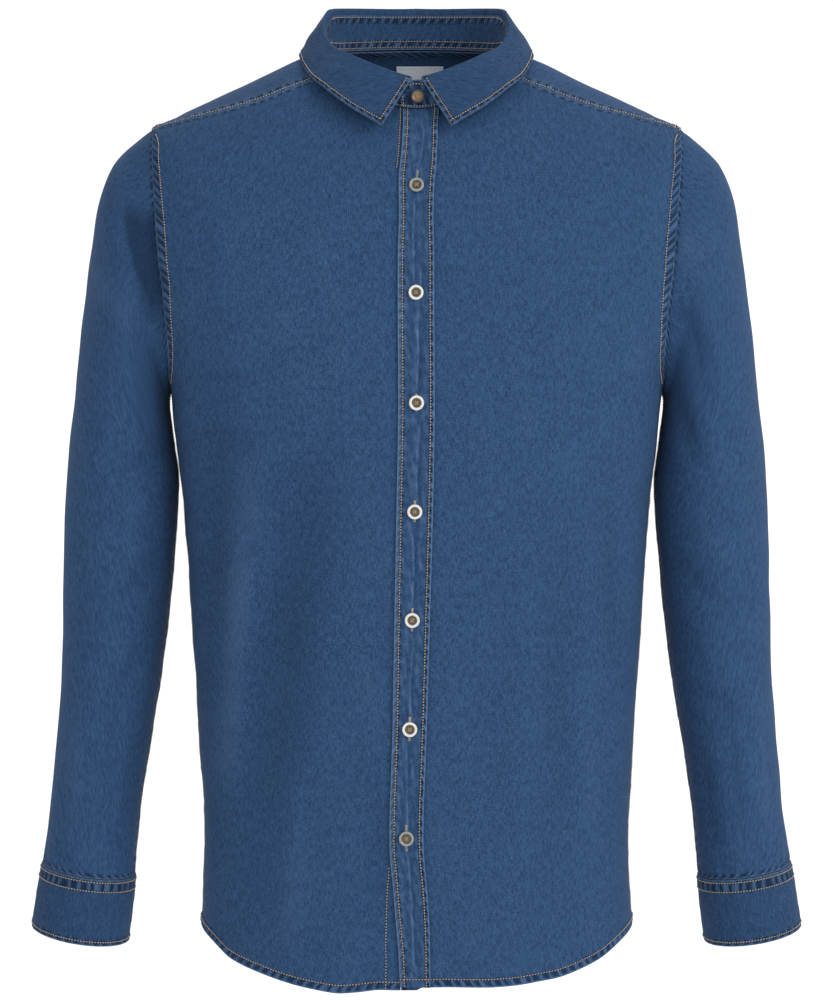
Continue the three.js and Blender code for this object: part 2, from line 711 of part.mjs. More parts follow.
// Slit placket on the back of the forearm, above the cuff's opening.
const SLIT_LENGTH_STEPS = [10.4, 11, 11.6, 12.2, 12.9];
const SLIT_HALF_TURN = 12 / 46;
function sleevePlacket() {
  const at = (i, j, lift) => {
    const turn = CUFF_OPENING + lerp(-SLIT_HALF_TURN, SLIT_HALF_TURN, j / 2);
    return sleevePoint(turn, SLIT_LENGTH_STEPS[i], lift);
  };
  const low = 0.8;
  return wall(4, 2, false, (i, j) => at(i, j, low + 1.3), (i, j) => at(i, j, low));
}

// Buttons with a rim and a sunk middle, turned about their own axis.
function buttonGeometry(radius) {
  const t = BUTTON_THICKNESS;
  const profile = [
    [0, 0],
    [radius * 0.82, 0],
    [radius, t * 0.45],
    [radius * 0.9, t],
    [radius * 0.62, t],
    [radius * 0.52, t * 0.6],
    [0, t * 0.6],
  ];
  return new THREE.LatheGeometry(profile.map(([x, y]) => new THREE.Vector2(x, y)), BUTTON_SEGMENTS);
}

function addButton(name, radius, position, direction, look) {
  const mesh = addPiece(name, buttonGeometry(radius), look);
  mesh.quaternion.setFromUnitVectors(new THREE.Vector3(0, 1, 0), direction);
  mesh.position.copy(position);
}

// Key of the ring whose front or back middle lies at a height.
function keyAtHeight(column, height) {
  let low = HEM_KEY;
  let high = NECK_KEY;
  while (high - low > 0.001) {
    const middle = (low + high) / 2;
    if (lookup(BODY, middle)[column] < height) low = middle;
    else high = middle;
  }
  return low;
}

// Blank label on the inside of the yoke, below the stand.
function neckLabel() {
  const columns = 4;
  const rows = 2;
  const at = (i, j, lift) => {
    const height = LABEL_TOP - (i / rows) * LABEL_HEIGHT;
    const key = keyAtHeight('back', height);
    const angle = 90 * RAD + angleAtX(lerp(-LABEL_WIDTH / 2, LABEL_WIDTH / 2, j / columns), key);
    return bodyPoint(angle, key, lift);
  };
  const face = -CLOTH - LABEL_SEAT;
  return wall(rows, columns, false, (i, j) => at(i, j, face), (i, j) => at(i, j, face - LABEL_THICKNESS));
}

function mirrored(geometry) {
  const copy = geometry.clone();
  const position = copy.getAttribute('position');
  for (let i = 0; i < position.count; i += 1) position.setX(i, -position.getX(i));
  const index = Array.from(copy.getIndex().array);
  for (let i = 0; i < index.length; i += 3) [index[i + 1], index[i + 2]] = [index[i + 2], index[i + 1]];
  copy.setIndex(index);
  copy.computeVertexNormals();
  return copy;
}

for (const half of ['upper', 'lower']) {
  addPiece(`front_left_${half}`, frontPanel(1, half), DENIM);
  addPiece(`front_right_${half}`, frontPanel(-1, half), DENIM);
}
addPiece('back', backPanel(), DENIM);
addPiece('yoke', yoke(), LIGHT_DENIM);
const bandHalf = BAND_WIDTH / 2 - LAYER_GAP / 2;
const bandTop = NECK_KEY - SEAM_GAP;
addPiece('button_band', frontStrip(-bandHalf, bandHalf, 2, -CLOTH, CLOTH, bandTop), DARK_DENIM);
const placketHalf = PLACKET_WIDTH / 2;
const placketTop = NECK_KEY - 1;
addPiece('placket', frontStrip(-placketHalf, placketHalf, 4, PLACKET_LIFT, PLACKET_THICKNESS, placketTop), DENIM);
addPiece('collar_stand', collarStand(), DARK_DENIM);
addPiece('collar_fall', collarFall(), DENIM);
addPiece('sleeve_left', sleeve(), DENIM);
addPiece('sleeve_right', mirrored(sleeve()), DENIM);
addPiece('cuff_left', cuff(), DARK_DENIM);
addPiece('cuff_right', mirrored(cuff()), DARK_DENIM);
addPiece('sleeve_placket_left', sleevePlacket(), DARK_DENIM);
addPiece('sleeve_placket_right', mirrored(sleevePlacket()), DARK_DENIM);
addPiece('neck_label', neckLabel(), LABEL_CLOTH);

for (let i = 0; i < FRONT_BUTTONS; i += 1) {
  const key = keyAtHeight('front', FIRST_BUTTON - i * BUTTON_PITCH);
  const angle = frontAngle(0, key);
  const place = bodyPoint(angle, key, PLACKET_LIFT + PLACKET_THICKNESS + BUTTON_SEAT);
  addButton(`front_button_${i + 1}`, BUTTON_RADIUS, place, bodyNormal(angle, key), HORN);
}

// The stand's button sits on the end that lies over.
const standButtonAngle = -90 * RAD + 0.01;
const standButtonPlace = standPoint(standButtonAngle, 0.46, STAND_LAP_LIFT + BUTTON_SEAT);
addButton('stand_button', STAND_BUTTON_RADIUS, standButtonPlace, standNormal(standButtonAngle), DARK_HORN);

// Each cuff has a button on the lap at the back of the wrist.
for (const side of [1, -1]) {
  const turn = CUFF_OPENING;
  const place = cuffPoint(turn, 1.5, 0.6 + CUFF_THICKNESS + 0.5 + BUTTON_SEAT);
  const direction = cuffPoint(turn, 1.5, 1).sub(cuffPoint(turn, 1.5, 0)).normalize();
  place.x *= side;
  direction.x *= side;
  addButton(side > 0 ? 'cuff_button_left' : 'cuff_button_right', CUFF_BUTTON_RADIUS, place, direction, HORN);
}

export default shirt;
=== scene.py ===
import math

import bmesh
import bpy
import numpy as np
from bpy.props import FloatProperty, FloatVectorProperty, PointerProperty
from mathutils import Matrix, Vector


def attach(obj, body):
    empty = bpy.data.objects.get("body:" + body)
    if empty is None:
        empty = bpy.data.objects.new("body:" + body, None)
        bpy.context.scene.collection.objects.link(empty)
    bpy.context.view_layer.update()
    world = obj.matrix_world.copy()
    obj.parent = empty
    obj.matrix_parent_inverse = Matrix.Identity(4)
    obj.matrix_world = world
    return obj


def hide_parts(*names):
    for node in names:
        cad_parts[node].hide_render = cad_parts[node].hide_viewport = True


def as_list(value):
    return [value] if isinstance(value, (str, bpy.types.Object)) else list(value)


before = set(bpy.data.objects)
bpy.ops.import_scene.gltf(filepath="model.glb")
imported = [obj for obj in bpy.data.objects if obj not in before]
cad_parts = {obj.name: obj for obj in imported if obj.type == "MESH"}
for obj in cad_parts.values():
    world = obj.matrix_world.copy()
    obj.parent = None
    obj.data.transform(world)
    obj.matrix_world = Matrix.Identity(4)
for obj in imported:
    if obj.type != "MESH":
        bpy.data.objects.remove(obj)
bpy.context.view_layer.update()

# Long-sleeved denim shirt, filled out as if worn. Shapes are worked out in millimetres
# and stored in metres. +Z is up, -Y is the front, +X is the wearer's left.

bl_info = {
    "name": "Denim shirt",
    "version": (1, 0, 0),
    "blender": (4, 5, 0),
    "location": "3D View > Sidebar > Shirt",
    "description": "Builds a worn denim shirt piece by piece, with its stitching and buttons",
    "category": "Add Mesh",
}

MM = 0.001
RAD = math.pi / 180


class SectionTable:
    """Rows of named columns, read smoothly between the rows by the first column."""

    def __init__(self, columns, rows):
        values = np.array(sorted(rows, key=lambda row: row[0]), float)
        self.names = columns[1:]
        self.keys = values[:, 0]
        self.values = values[:, 1:]
        steps = np.diff(self.values, axis=0) / np.diff(self.keys)[:, None]
        a, b = steps[:-1], steps[1:]
        same_way = a * b > 0
        inner = np.where(same_way, 2 * a * b / np.where(same_way, a + b, 1), 0)
        self.slopes = np.vstack([steps[:1], inner, steps[-1:]])

    def at(self, key):
        key = np.clip(np.asarray(key, float), self.keys[0], self.keys[-1])
        i = np.clip(np.searchsorted(self.keys, key, side="right") - 1, 0, len(self.keys) - 2)
        span = (self.keys[i + 1] - self.keys[i])[..., None]
        t = (key - self.keys[i])[..., None] / span
        low, high = self.values[i], self.values[i + 1]
        rise, fall = self.slopes[i] * span, self.slopes[i + 1] * span
        t2, t3 = t * t, t * t * t
        value = low * (2 * t3 - 3 * t2 + 1) + high * (3 * t2 - 2 * t3)
        value = value + rise * (t3 - 2 * t2 + t) + fall * (t3 - t2)
        return {name: value[..., k] for k, name in enumerate(self.names)}


# Body rings, from the neck down to the hem. A ring crosses the shoulder or the side at
# "side", the middle of the front at "front" and the middle of the back at "back".
BODY = SectionTable(
    ["side", "front", "back", "half_width", "front_depth", "back_depth", "square", "bow"],
    [
        [9, -47, 18.5, 70, 66, 62, 2.0, 1.4],
        [4, -58, 8, 92, 76, 74, 2.05, 1.6],
        [-13, -80, -16, 128, 89, 88, 2.15, 1.9],
        [-30, -103, -42, 164, 99, 98, 2.3, 2.0],
        [-46, -126, -70, 198, 106, 104, 2.5, 2.1],
        [-57, -144, -92, 219, 110, 107, 2.7, 2.2],
        [-90, -172, -124, 223, 113, 109, 2.95, 2.2],
        [-140, -205, -170, 222, 116, 111, 3.1, 2.1],
        [-200, -242, -221, 215, 118, 111, 3.0, 2.0],
        [-272, -290, -280, 203, 118, 109, 2.7, 2.0],
        [-320, -330, -324, 198.5, 117, 107, 2.5, 2.0],
        [-363, -368, -365, 192.8, 115, 105, 2.45, 2.0],
        [-463, -465, -464, 186, 112, 103, 2.4, 2.0],
        [-563, -566, -565, 179.3, 112, 105, 2.4, 2.0],
        [-640, -650, -648, 175.2, 114, 109, 2.4, 2.0],
        [-690, -712, -708, 176.5, 116, 112, 2.4, 1.95],
        [-716, -754.5, -748, 177.5, 117, 114, 2.4, 1.92],
    ],
)
NECK_KEY = 9
CREST_SOFTNESS = 26
HEM_KEY = -716

# The armhole is an oval in ring height and angle, from the shoulder tip to the armpit.
ARMHOLE_TOP = -57
ARMHOLE_BOTTOM = -272
ARMHOLE_SPREAD = 31 * RAD
ARMHOLE_UPPER_POWER = 0.45
ARMHOLE_LOWER_POWER = 0.8
ARMHOLE_CENTRE = (ARMHOLE_TOP + ARMHOLE_BOTTOM) / 2
ARMHOLE_REACH = (ARMHOLE_TOP - ARMHOLE_BOTTOM) / 2
YOKE_NECK_ANGLE = -30 * RAD
YOKE_FRONT_TURN = 6.98 * RAD
YOKE_BACK_TURN = -66.98 * RAD
FORWARD_BOW = 7 * RAD

# Middle line of the front edges, which wanders sideways on the way down.
FRONT_LINE = SectionTable(
    ["height", "x"],
    [
        [-40, 4],
        [-80, 2.6],
        [-113, 0],
        [-200, -0.4],
        [-286, 0],
        [-372, -1.4],
        [-459, -3.4],
        [-546, -5.4],
        [-632, -8],
        [-680, -4.5],
        [-720, -2],
        [-760, -0.8],
    ],
)

# Sleeve sections, from the armhole to the cuff, each from an outer to an inner point.
# How far the hem lies above its even line, by the distance from the middle of the front.
HEM_SHIFT = SectionTable(
    ["x", "up"],
    [
        [-180, 4.6],
        [-168, 4.0],
        [-149, -0.8],
        [-127, -1.3],
        [-105, -2.4],
        [-82, -3.1],
        [-66, -3.4],
        [-49, -1.1],
        [-27, 2.2],
        [0, 2.3],
        [5, 4.6],
        [19, 4.6],
        [41, 3.4],
        [63, 1.6],
        [80, 0.6],
        [97, 0],
        [116, -1.1],
        [149, 0.4],
        [168, 4.0],
        [180, 4.6],
    ],
)
PLACKET_SHIFT = 4.6

SLEEVE_COLUMNS = ["step", "outer_x", "outer_z", "inner_x", "inner_z", "half_depth", "middle_y", "drop"]
SLEEVE = SectionTable(
    SLEEVE_COLUMNS,
    [
        [0, 219.5, -57.5, 204.0, -272.5, 66, 0, 0],
        [1, 237, -70, 204.8, -277, 67, 0, 0],
        [2, 251, -86, 205.2, -282, 67.5, 0, 0],
        [3, 261.5, -112, 205.0, -288, 67, 0, 0],
        [4, 268.5, -150, 204.2, -295, 66, 1, 0],
        [5, 275.5, -203, 202.8, -305, 64.5, 2, 0],
        [6, 283, -272, 200.6, -322, 61.5, 3, 0],
        [7, 290.5, -347, 197.6, -350, 59, 5, 0],
        [8, 293, -413, 201.7, -413, 56.5, 7, 0],
        [9, 294, -463, 206.7, -463, 54, 8, 0],
        [10, 295.5, -513, 213.3, -515, 51.5, 7, 0],
        [11, 299, -563, 221.6, -567, 49, 4, 0.6],
        [12, 303, -613, 229, -620, 46, 0, 1.6],
        [13, 309, -662, 233.6, -673.5, 42.5, -5, 3.3],
    ],
)
SLEEVE_END = 13
SEAM_BLEND = 2
CUFF = SectionTable(
    SLEEVE_COLUMNS,
    [
        [0, 309.6, -662.6, 233.0, -674.1, 43, -5, 3.3],
        [1, 312.6, -679, 234.2, -691.5, 42.8, -5.5, 3.8],
        [2, 315.2, -696, 236.2, -709, 42, -6.5, 4.4],
        [3, 317.5, -713.5, 238.5, -727, 41.2, -8, 5],
    ],
)
CUFF_OPENING = 250 * RAD

# Height of the collar's fold round the neck, by angle from the side, front to back.
FOLD_HEIGHT = SectionTable(
    ["angle", "height"],
    [
        [-90, -26],
        [-75, -19.5],
        [-60, -11.5],
        [-45, -3],
        [-30, 4.5],
        [-12, 18.5],
        [0, 30],
        [12, 37.5],
        [20, 43.5],
        [30, 46.1],
        [60, 49.7],
        [90, 51.1],
    ],
)
FOLD_HALF_WIDTH = 76.5
FOLD_FRONT_DEPTH = 66
FOLD_BACK_DEPTH = 64
STAND_FRONT_DROP = 0.8
STAND_BACK_DROP = 3.0

# Outer edge of the collar's fall, by the angle of the fold that it hangs from.
FALL_EDGE = SectionTable(
    ["angle", "x", "y", "z"],
    [
        [-85.5, 27.8, -92, -65],
        [-70, 46, -86, -53.4],
        [-54, 60, -78, -43.6],
        [-38, 75, -64.5, -30.6],
        [-22, 86, -46, -20],
        [-8, 93.5, -24, -7],
        [6, 97, 2, 5],
        [28, 93, 37, 11],
        [55, 62, 69, 13],
        [90, 0, 84, 13],
    ],
)
FALL_FRONT_ANGLE = -87 * RAD

PLACKET_WIDTH = 29
BAND_WIDTH = 23
STAND_OVERLAP = 13
FIRST_BUTTON = -113
BUTTON_PITCH = 86.5
FRONT_BUTTONS = 7
BUTTON_RADIUS = 6.2
SMALL_BUTTON_RADIUS = 5.6

# Soft folds and creases of the body, each a curve of three points in the front view
# (x, z), a width and a depth. A minus depth is a trough.
FRONT_FOLDS = [
    [(-68, -290), (-104, -470), (-126, -722), 26, -5.5],
    [(-136, -330), (-146, -480), (-150, -640), 14, 3.2],
    [(-160, -250), (-164, -400), (-167, -560), 12, -3.8],
    [(-96, -560), (-98, -640), (-108, -735), 13, 1.8],
    [(-30, -560), (-34, -650), (-22, -740), 12, -2.2],
    [(-150, -330), (-128, -380), (-118, -450), 9, 1.2],
    [(-190, -260), (-150, -268), (-104, -262), 7, -1.1],
    [(-188, -300), (-150, -318), (-118, -318), 8, -1.0],
    [(120, -330), (112, -520), (104, -730), 24, -3.0],
    [(150, -300), (156, -430), (158, -560), 12, -2.6],
    [(62, -380), (66, -520), (60, -690), 16, -1.5],
    [(88, -420), (90, -560), (84, -700), 12, 1.2],
    [(136, -420), (138, -540), (134, -680), 10, 1.2],
    [(190, -262), (152, -276), (118, -268), 7, -1.0],
    [(-60, -90), (-100, -112), (-150, -116), 9, -0.7],
    [(60, -92), (104, -112), (150, -118), 9, -0.6],
    [(-178, -120), (-168, -170), (-172, -230), 9, -0.9],
    [(178, -120), (170, -170), (174, -230), 9, -0.9],
]
BACK_FOLDS = [
    [(-92, -190), (-104, -430), (-118, -700), 26, -4.5],
    [(70, -220), (84, -440), (96, -720), 26, -4.5],
    [(-20, -300), (-14, -480), (-26, -700), 18, -2.2],
    [(-140, -260), (-146, -400), (-150, -560), 13, -2.8],
    [(138, -260), (146, -420), (150, -590), 13, -2.8],
    [(-60, -360), (-58, -520), (-66, -700), 12, 1.8],
    [(40, -380), (48, -520), (52, -690), 12, 1.8],
    [(-170, -150), (-120, -190), (-70, -196), 10, -1.3],
    [(170, -150), (124, -186), (80, -200), 10, -1.3],
]

# Creases down the placket, painted as pale lines of wear with painted shade beside them, each a line of
# (offset from its middle, height).
PLACKET_CREASES = [
    [(3.5, -62), (1.5, -92), (-2.0, -104)],
    [(-1.5, -120), (-2.5, -150), (-1.6, -196)],
    [(4.2, -172), (3.8, -190), (4.6, -201)],
    [(1.0, -214), (1.6, -250), (-0.4, -284)],
    [(2.6, -300), (0.6, -340), (2.2, -370)],
    [(-1.6, -384), (0.4, -420), (-0.6, -456)],
    [(1.8, -470), (-0.8, -506), (0.6, -542)],
    [(-2.2, -556), (-0.2, -600), (1.4, -628)],
    [(1.2, -642), (0.2, -690), (-1.0, -742)],
]

# Creases of the sleeves, by the turn round the sleeve in degrees (0 outside, 90 front)
# and the height. The wearer's right sleeve has the deep one across its head.
RIGHT_SLEEVE_FOLDS = [
    [(54, -120), (82, -164), (118, -225), 3.2, -2.2],
    [(68, -110), (95, -153), (130, -212), 9, 0.9],
    [(20, -150), (60, -190), (110, -236), 12, 1.6],
    [(150, -300), (120, -330), (70, -342), 9, -1.8],
    [(152, -400), (110, -436), (60, -440), 9, -1.8],
    [(20, -440), (60, -462), (110, -470), 8, -1.4],
    [(150, -470), (120, -500), (84, -520), 8, -1.6],
    [(100, -480), (104, -560), (100, -650), 9, -1.5],
    [(60, -500), (64, -580), (66, -655), 9, 1.2],
    [(140, -540), (140, -600), (128, -655), 8, -1.4],
    [(220, -420), (260, -446), (310, -450), 10, -2.2],
    [(200, -480), (250, -500), (300, -490), 9, -1.8],
    [(270, -120), (290, -220), (280, -340), 13, -1.8],
    [(300, -500), (304, -580), (300, -650), 9, -1.4],
]
# Width of the stitched strip down a front's side: at which share of the way, and how wide.
ARMHOLE_STRIP = [
    (0.0, 3.2),
    (0.108, 3.2),
    (0.118, 15.8),
    (0.145, 17.8),
    (0.172, 18.3),
    (0.2, 17.8),
    (0.228, 15.8),
    (0.255, 12.8),
    (0.285, 11.4),
    (0.34, 10),
    (0.4, 9),
    (1.0, 9),
]
# How far the stitching down the right front's edge stands away from that edge at the foot.
FOOT_INSETS = [3.2, 6.7, 8.8, 10.6, 11.2, 11.4, 11.6, 11.8, 12.0]

# Dark lines of painted shade along the sharpest sleeve creases, by turn and height like the sleeve folds,
# with a width and a tone. The pale second line on the right sleeve is painted highlight beside its crease.
PAINTED_CREASE_SHADE = {
    "right": [
        [(52, -117), (82, -164), (120, -228), 2.1, -1.6],
        [(66, -112), (92, -155), (126, -214), 5, 0.35],
    ],
    "left": [[(112, -196), (104, -240), (98, -290), 2.4, -0.3]],
}
LEFT_SLEEVE_FOLDS = [
    [(118, -190), (104, -240), (96, -300), 13, -2.2],
    [(150, -262), (126, -300), (104, -352), 10, -2.4],
    [(60, -120), (84, -160), (100, -210), 11, 1.2],
    [(152, -390), (120, -430), (70, -452), 9, -2.0],
    [(16, -430), (60, -446), (104, -444), 8, -1.2],
    [(150, -500), (110, -526), (70, -530), 8, -1.5],
    [(92, -500), (96, -580), (94, -650), 10, -1.6],
    [(54, -520), (58, -590), (60, -655), 9, 1.2],
    [(134, -560), (134, -610), (124, -655), 8, -1.4],
    [(222, -420), (262, -442), (312, -452), 10, -2.2],
    [(200, -486), (248, -500), (300, -496), 9, -1.8],
    [(268, -120), (290, -220), (282, -340), 13, -1.8],
    [(300, -500), (302, -580), (298, -650), 9, -1.4],
]


def lerp(a, b, t):
    return a + (b - a) * t


def smooth(low, high, value):
    t = np.clip((value - low) / (high - low), 0, 1)
    return t * t * (3 - 2 * t)


def unit(vectors):
    length = np.linalg.norm(vectors, axis=-1, keepdims=True)
    return vectors / np.maximum(length, 1e-9)


def stack(x, y, z):
    return np.stack(np.broadcast_arrays(x, y, z), axis=-1)


def run_along(points, axis):
    """Distances along one axis of a grid of points, from zero at its start."""
    steps = np.linalg.norm(np.diff(points, axis=axis), axis=-1)
    start = np.zeros_like(np.take(steps, [0], axis=axis))
    return np.concatenate([start, np.cumsum(steps, axis=axis)], axis=axis)


def ripple(along, pitch, seed):
    """Uneven wave from -1 to 1, for puckers beside a seam."""
    rng = np.random.default_rng(seed)
    total = 0
    for k in range(5):
        rate = (0.55 + 0.3 * k + rng.uniform(-0.08, 0.08)) / pitch
        total = total + np.sin(2 * math.pi * (along * rate + rng.uniform())) / (1 + 0.35 * k)
    return total / 2.4


def unevenness(a, b, size, seed):
    """Soft unevenness of loose cloth over two surface measures."""
    rng = np.random.default_rng(seed)
    total = 0
    for k in range(7):
        heading = rng.uniform(0, math.pi)
        wave = size * rng.uniform(0.6, 1.7)
        phase = rng.uniform(0, 2 * math.pi)
        total = total + np.sin(2 * math.pi * (a * math.cos(heading) + b * math.sin(heading)) / wave + phase)
    return total / 4


def fold_lift(u, v, folds):
    """Sum of the folds at points (u, v)."""
    total = np.zeros(np.broadcast(u, v).shape)
    t = np.linspace(0, 1, 17)
    for start, middle, end, width, depth in folds:
        a, b, c = (np.array(p, float) for p in (start, middle, end))
        control = 2 * b - (a + c) / 2
        curve = np.outer((1 - t) ** 2, a) + np.outer(2 * t * (1 - t), control) + np.outer(t * t, c)
        reach = 3 * width
        near = (u > curve[:, 0].min() - reach) & (u < curve[:, 0].max() + reach)
        near &= (v > curve[:, 1].min() - reach) & (v < curve[:, 1].max() + reach)
        if not near.any():
            continue
        pu, pv = np.broadcast_arrays(u, v)
        p = np.stack([pu[near], pv[near]], axis=-1)[:, None, :]
        seg = curve[1:] - curve[:-1]
        along = np.clip(((p - curve[:-1]) * seg).sum(-1) / (seg * seg).sum(-1), 0, 1)
        distance = np.linalg.norm(p - curve[:-1] - along[..., None] * seg, axis=-1)
        best = distance.argmin(axis=1)
        rows = np.arange(len(best))
        share = (best + along[rows, best]) / len(seg)
        off = distance[rows, best] / width
        total[near] += depth * np.sin(math.pi * share) ** 1.2 * np.exp(-off * off)
    return total


# Body surface

def ring_at(angle, key):
    ring = BODY.at(key)
    c, s = np.cos(angle), np.sin(angle)
    n = ring["square"]
    radial = (np.abs(c) ** n + np.abs(s) ** n) ** (-1 / n)
    in_front = s < 0
    depth = np.where(in_front, ring["front_depth"], ring["back_depth"])
    end = np.where(in_front, ring["front"], ring["back"])
    share = np.minimum(radial * np.abs(s), 1)
    z = key + (end - key) * share ** ring["bow"]
    return stack(ring["half_width"] * radial * c, depth * radial * s, z)


def body_base(angle, key):
    """Body surface at an angle round the ring: 0 is the wearer's left, -90 the front."""
    angle, key = np.broadcast_arrays(np.asarray(angle, float), np.asarray(key, float))
    room = np.minimum(NECK_KEY - key, key - HEM_KEY)
    reach = np.maximum(np.minimum(CREST_SOFTNESS * np.abs(np.sin(angle)), room), 0)
    return (2 * ring_at(angle, key) + ring_at(angle, key + reach) + ring_at(angle, key - reach)) / 4


def body_normal(angle, key):
    top = np.minimum(key + 0.6, NECK_KEY)
    low = np.maximum(key - 0.6, HEM_KEY)
    along = body_base(angle + 0.012, key) - body_base(angle - 0.012, key)
    down = body_base(angle, low) - body_base(angle, top)
    return unit(np.cross(down, along))


def body_folds(point):
    x, y, z = point[..., 0], point[..., 1], point[..., 2]
    in_front = smooth(6, -6, y)
    front = fold_lift(x, z, FRONT_FOLDS)
    back = fold_lift(x, z, BACK_FOLDS)
    loose = smooth(-60, -240, z)
    rough = unevenness(x + 0.4 * y, z, 46, 11) * lerp(0.25, 0.5, loose)
    strength = bpy.context.scene.shirt_sizes.fold_strength
    return strength * (front * in_front + back * (1 - in_front) + rough)


def hem_lift(point):
    """How far the hem has shrunk up or drooped down, which differs between the two fronts."""
    x, y, z = point[..., 0], point[..., 1], point[..., 2]
    back = 4.2 * smooth(140, 172, np.abs(x))
    return np.where(y < 0, HEM_SHIFT.at(x)["up"], back) * smooth(-640, -745, z)


def body_point(angle, key, lift=0.0):
    """Point on the body, moved out by lift, and the direction out of the cloth."""
    base = body_base(angle, key)
    normal = body_normal(angle, key)
    amount = body_folds(base) + lift
    return base + normal * amount[..., None], normal


def angle_at_x(x, key):
    ring = BODY.at(key)
    q = np.minimum(np.abs(x) / ring["half_width"], 0.999)
    n = ring["square"]
    return np.sign(x) * np.arctan(q / (1 - q ** n) ** (1 / n))


def front_angle(offset, key):
    middle = FRONT_LINE.at(BODY.at(key)["front"])["x"]
    return -90 * RAD + angle_at_x(middle + offset, key)


def armhole_key(turn):
    return ARMHOLE_CENTRE + ARMHOLE_REACH * np.cos(turn)


def armhole_angle(turn):
    s = np.sin(turn)
    power = np.where(np.cos(turn) > 0, ARMHOLE_UPPER_POWER, ARMHOLE_LOWER_POWER)
    return -ARMHOLE_SPREAD * np.sign(s) * np.abs(s) ** power


def key_at_height(column, height):
    keys = np.linspace(HEM_KEY, NECK_KEY, 3000)
    return np.interp(height, BODY.at(keys)[column], keys)


# Collar

def neck_loop(angle):
    point = body_base(angle, np.full(np.shape(angle), float(NECK_KEY)))
    point[..., 2] += 0.3
    return point


def from_side(angle):
    return np.arcsin(np.clip(np.sin(angle), -1, 1)) / RAD


def fold_loop(angle):
    c, s = np.cos(angle), np.sin(angle)
    depth = np.where(s < 0, FOLD_FRONT_DEPTH, FOLD_BACK_DEPTH)
    return stack(FOLD_HALF_WIDTH * c, depth * s, FOLD_HEIGHT.at(from_side(angle))["height"])


def stand_drop(angle):
    """How far the top edge of the stand lies below the fold: least at the front."""
    return lerp(STAND_FRONT_DROP, STAND_BACK_DROP, smooth(-0.95, -0.3, np.sin(angle)))


def fall_edge(angle):
    edge = FALL_EDGE.at(from_side(angle))
    return stack(np.sign(np.cos(angle)) * edge["x"], edge["y"], edge["z"])


def loop_out(angle):
    return unit(stack(np.cos(angle) / FOLD_HALF_WIDTH, np.sin(angle) / FOLD_BACK_DEPTH, 0 * angle))


# Sleeves and cuffs

def ring_point(source, turn, step):
    ring = source.at(step)
    c, s = np.cos(turn), np.sin(turn)
    x = lerp(ring["inner_x"], ring["outer_x"], (1 + c) / 2)
    z = lerp(ring["inner_z"], ring["outer_z"], (1 + c) / 2) - ring["drop"] * s
    return stack(x, ring["middle_y"] - ring["half_depth"] * s, z)


def sleeve_base(turn, step):
    turn, step = np.broadcast_arrays(np.asarray(turn, float), np.asarray(step, float))
    seam = body_base(armhole_angle(turn), armhole_key(turn))
    share = smooth(0, SEAM_BLEND, step)[..., None]
    return lerp(seam, ring_point(SLEEVE, turn, step), share)


def sleeve_normal(turn, step):
    low, high = np.maximum(step - 0.12, 0), np.minimum(step + 0.12, SLEEVE_END)
    along = sleeve_base(turn, high) - sleeve_base(turn, low)
    around = sleeve_base(turn + 0.04, step) - sleeve_base(turn - 0.04, step)
    return unit(np.cross(around, along))


SLEEVE_GIRTH = 52


def sleeve_folds(turn, base, folds):
    """Height of the folds of a sleeve. They are fainter where the sleeve faces the body."""
    degrees = np.mod(turn / RAD, 360)
    reach = RAD * SLEEVE_GIRTH
    wide = [[(a * reach, b) for a, b in fold[:3]] + list(fold[3:]) for fold in folds]
    amount = fold_lift(degrees * reach, base[..., 2], wide)
    amount = amount + 0.45 * unevenness(base[..., 0] * 1.3, base[..., 2], 40, 23 + len(folds))
    inside = smooth(35, 5, np.abs(degrees - 180)) * smooth(-420, -330, base[..., 2])
    return amount * (1 - 0.85 * inside) * bpy.context.scene.shirt_sizes.fold_strength


def sleeve_point(turn, step, folds, lift=0.0):
    turn, step = np.broadcast_arrays(np.asarray(turn, float), np.asarray(step, float))
    base = sleeve_base(turn, step)
    normal = sleeve_normal(turn, step)
    amount = sleeve_folds(turn, base, folds) * smooth(0, 0.8, step)
    return base + normal * (amount + lift)[..., None], normal


def cuff_point(turn, step, lift=0.0):
    point = ring_point(CUFF, turn, step)
    middle = lerp(ring_point(CUFF, 0 * turn, step), ring_point(CUFF, 0 * turn + math.pi, step), 0.5)
    normal = unit((point - middle) * np.array([1, 1, 0]))
    return point + normal * np.asarray(lift)[..., None], normal


# Cloth meshes

STRIP_UNIT = 5


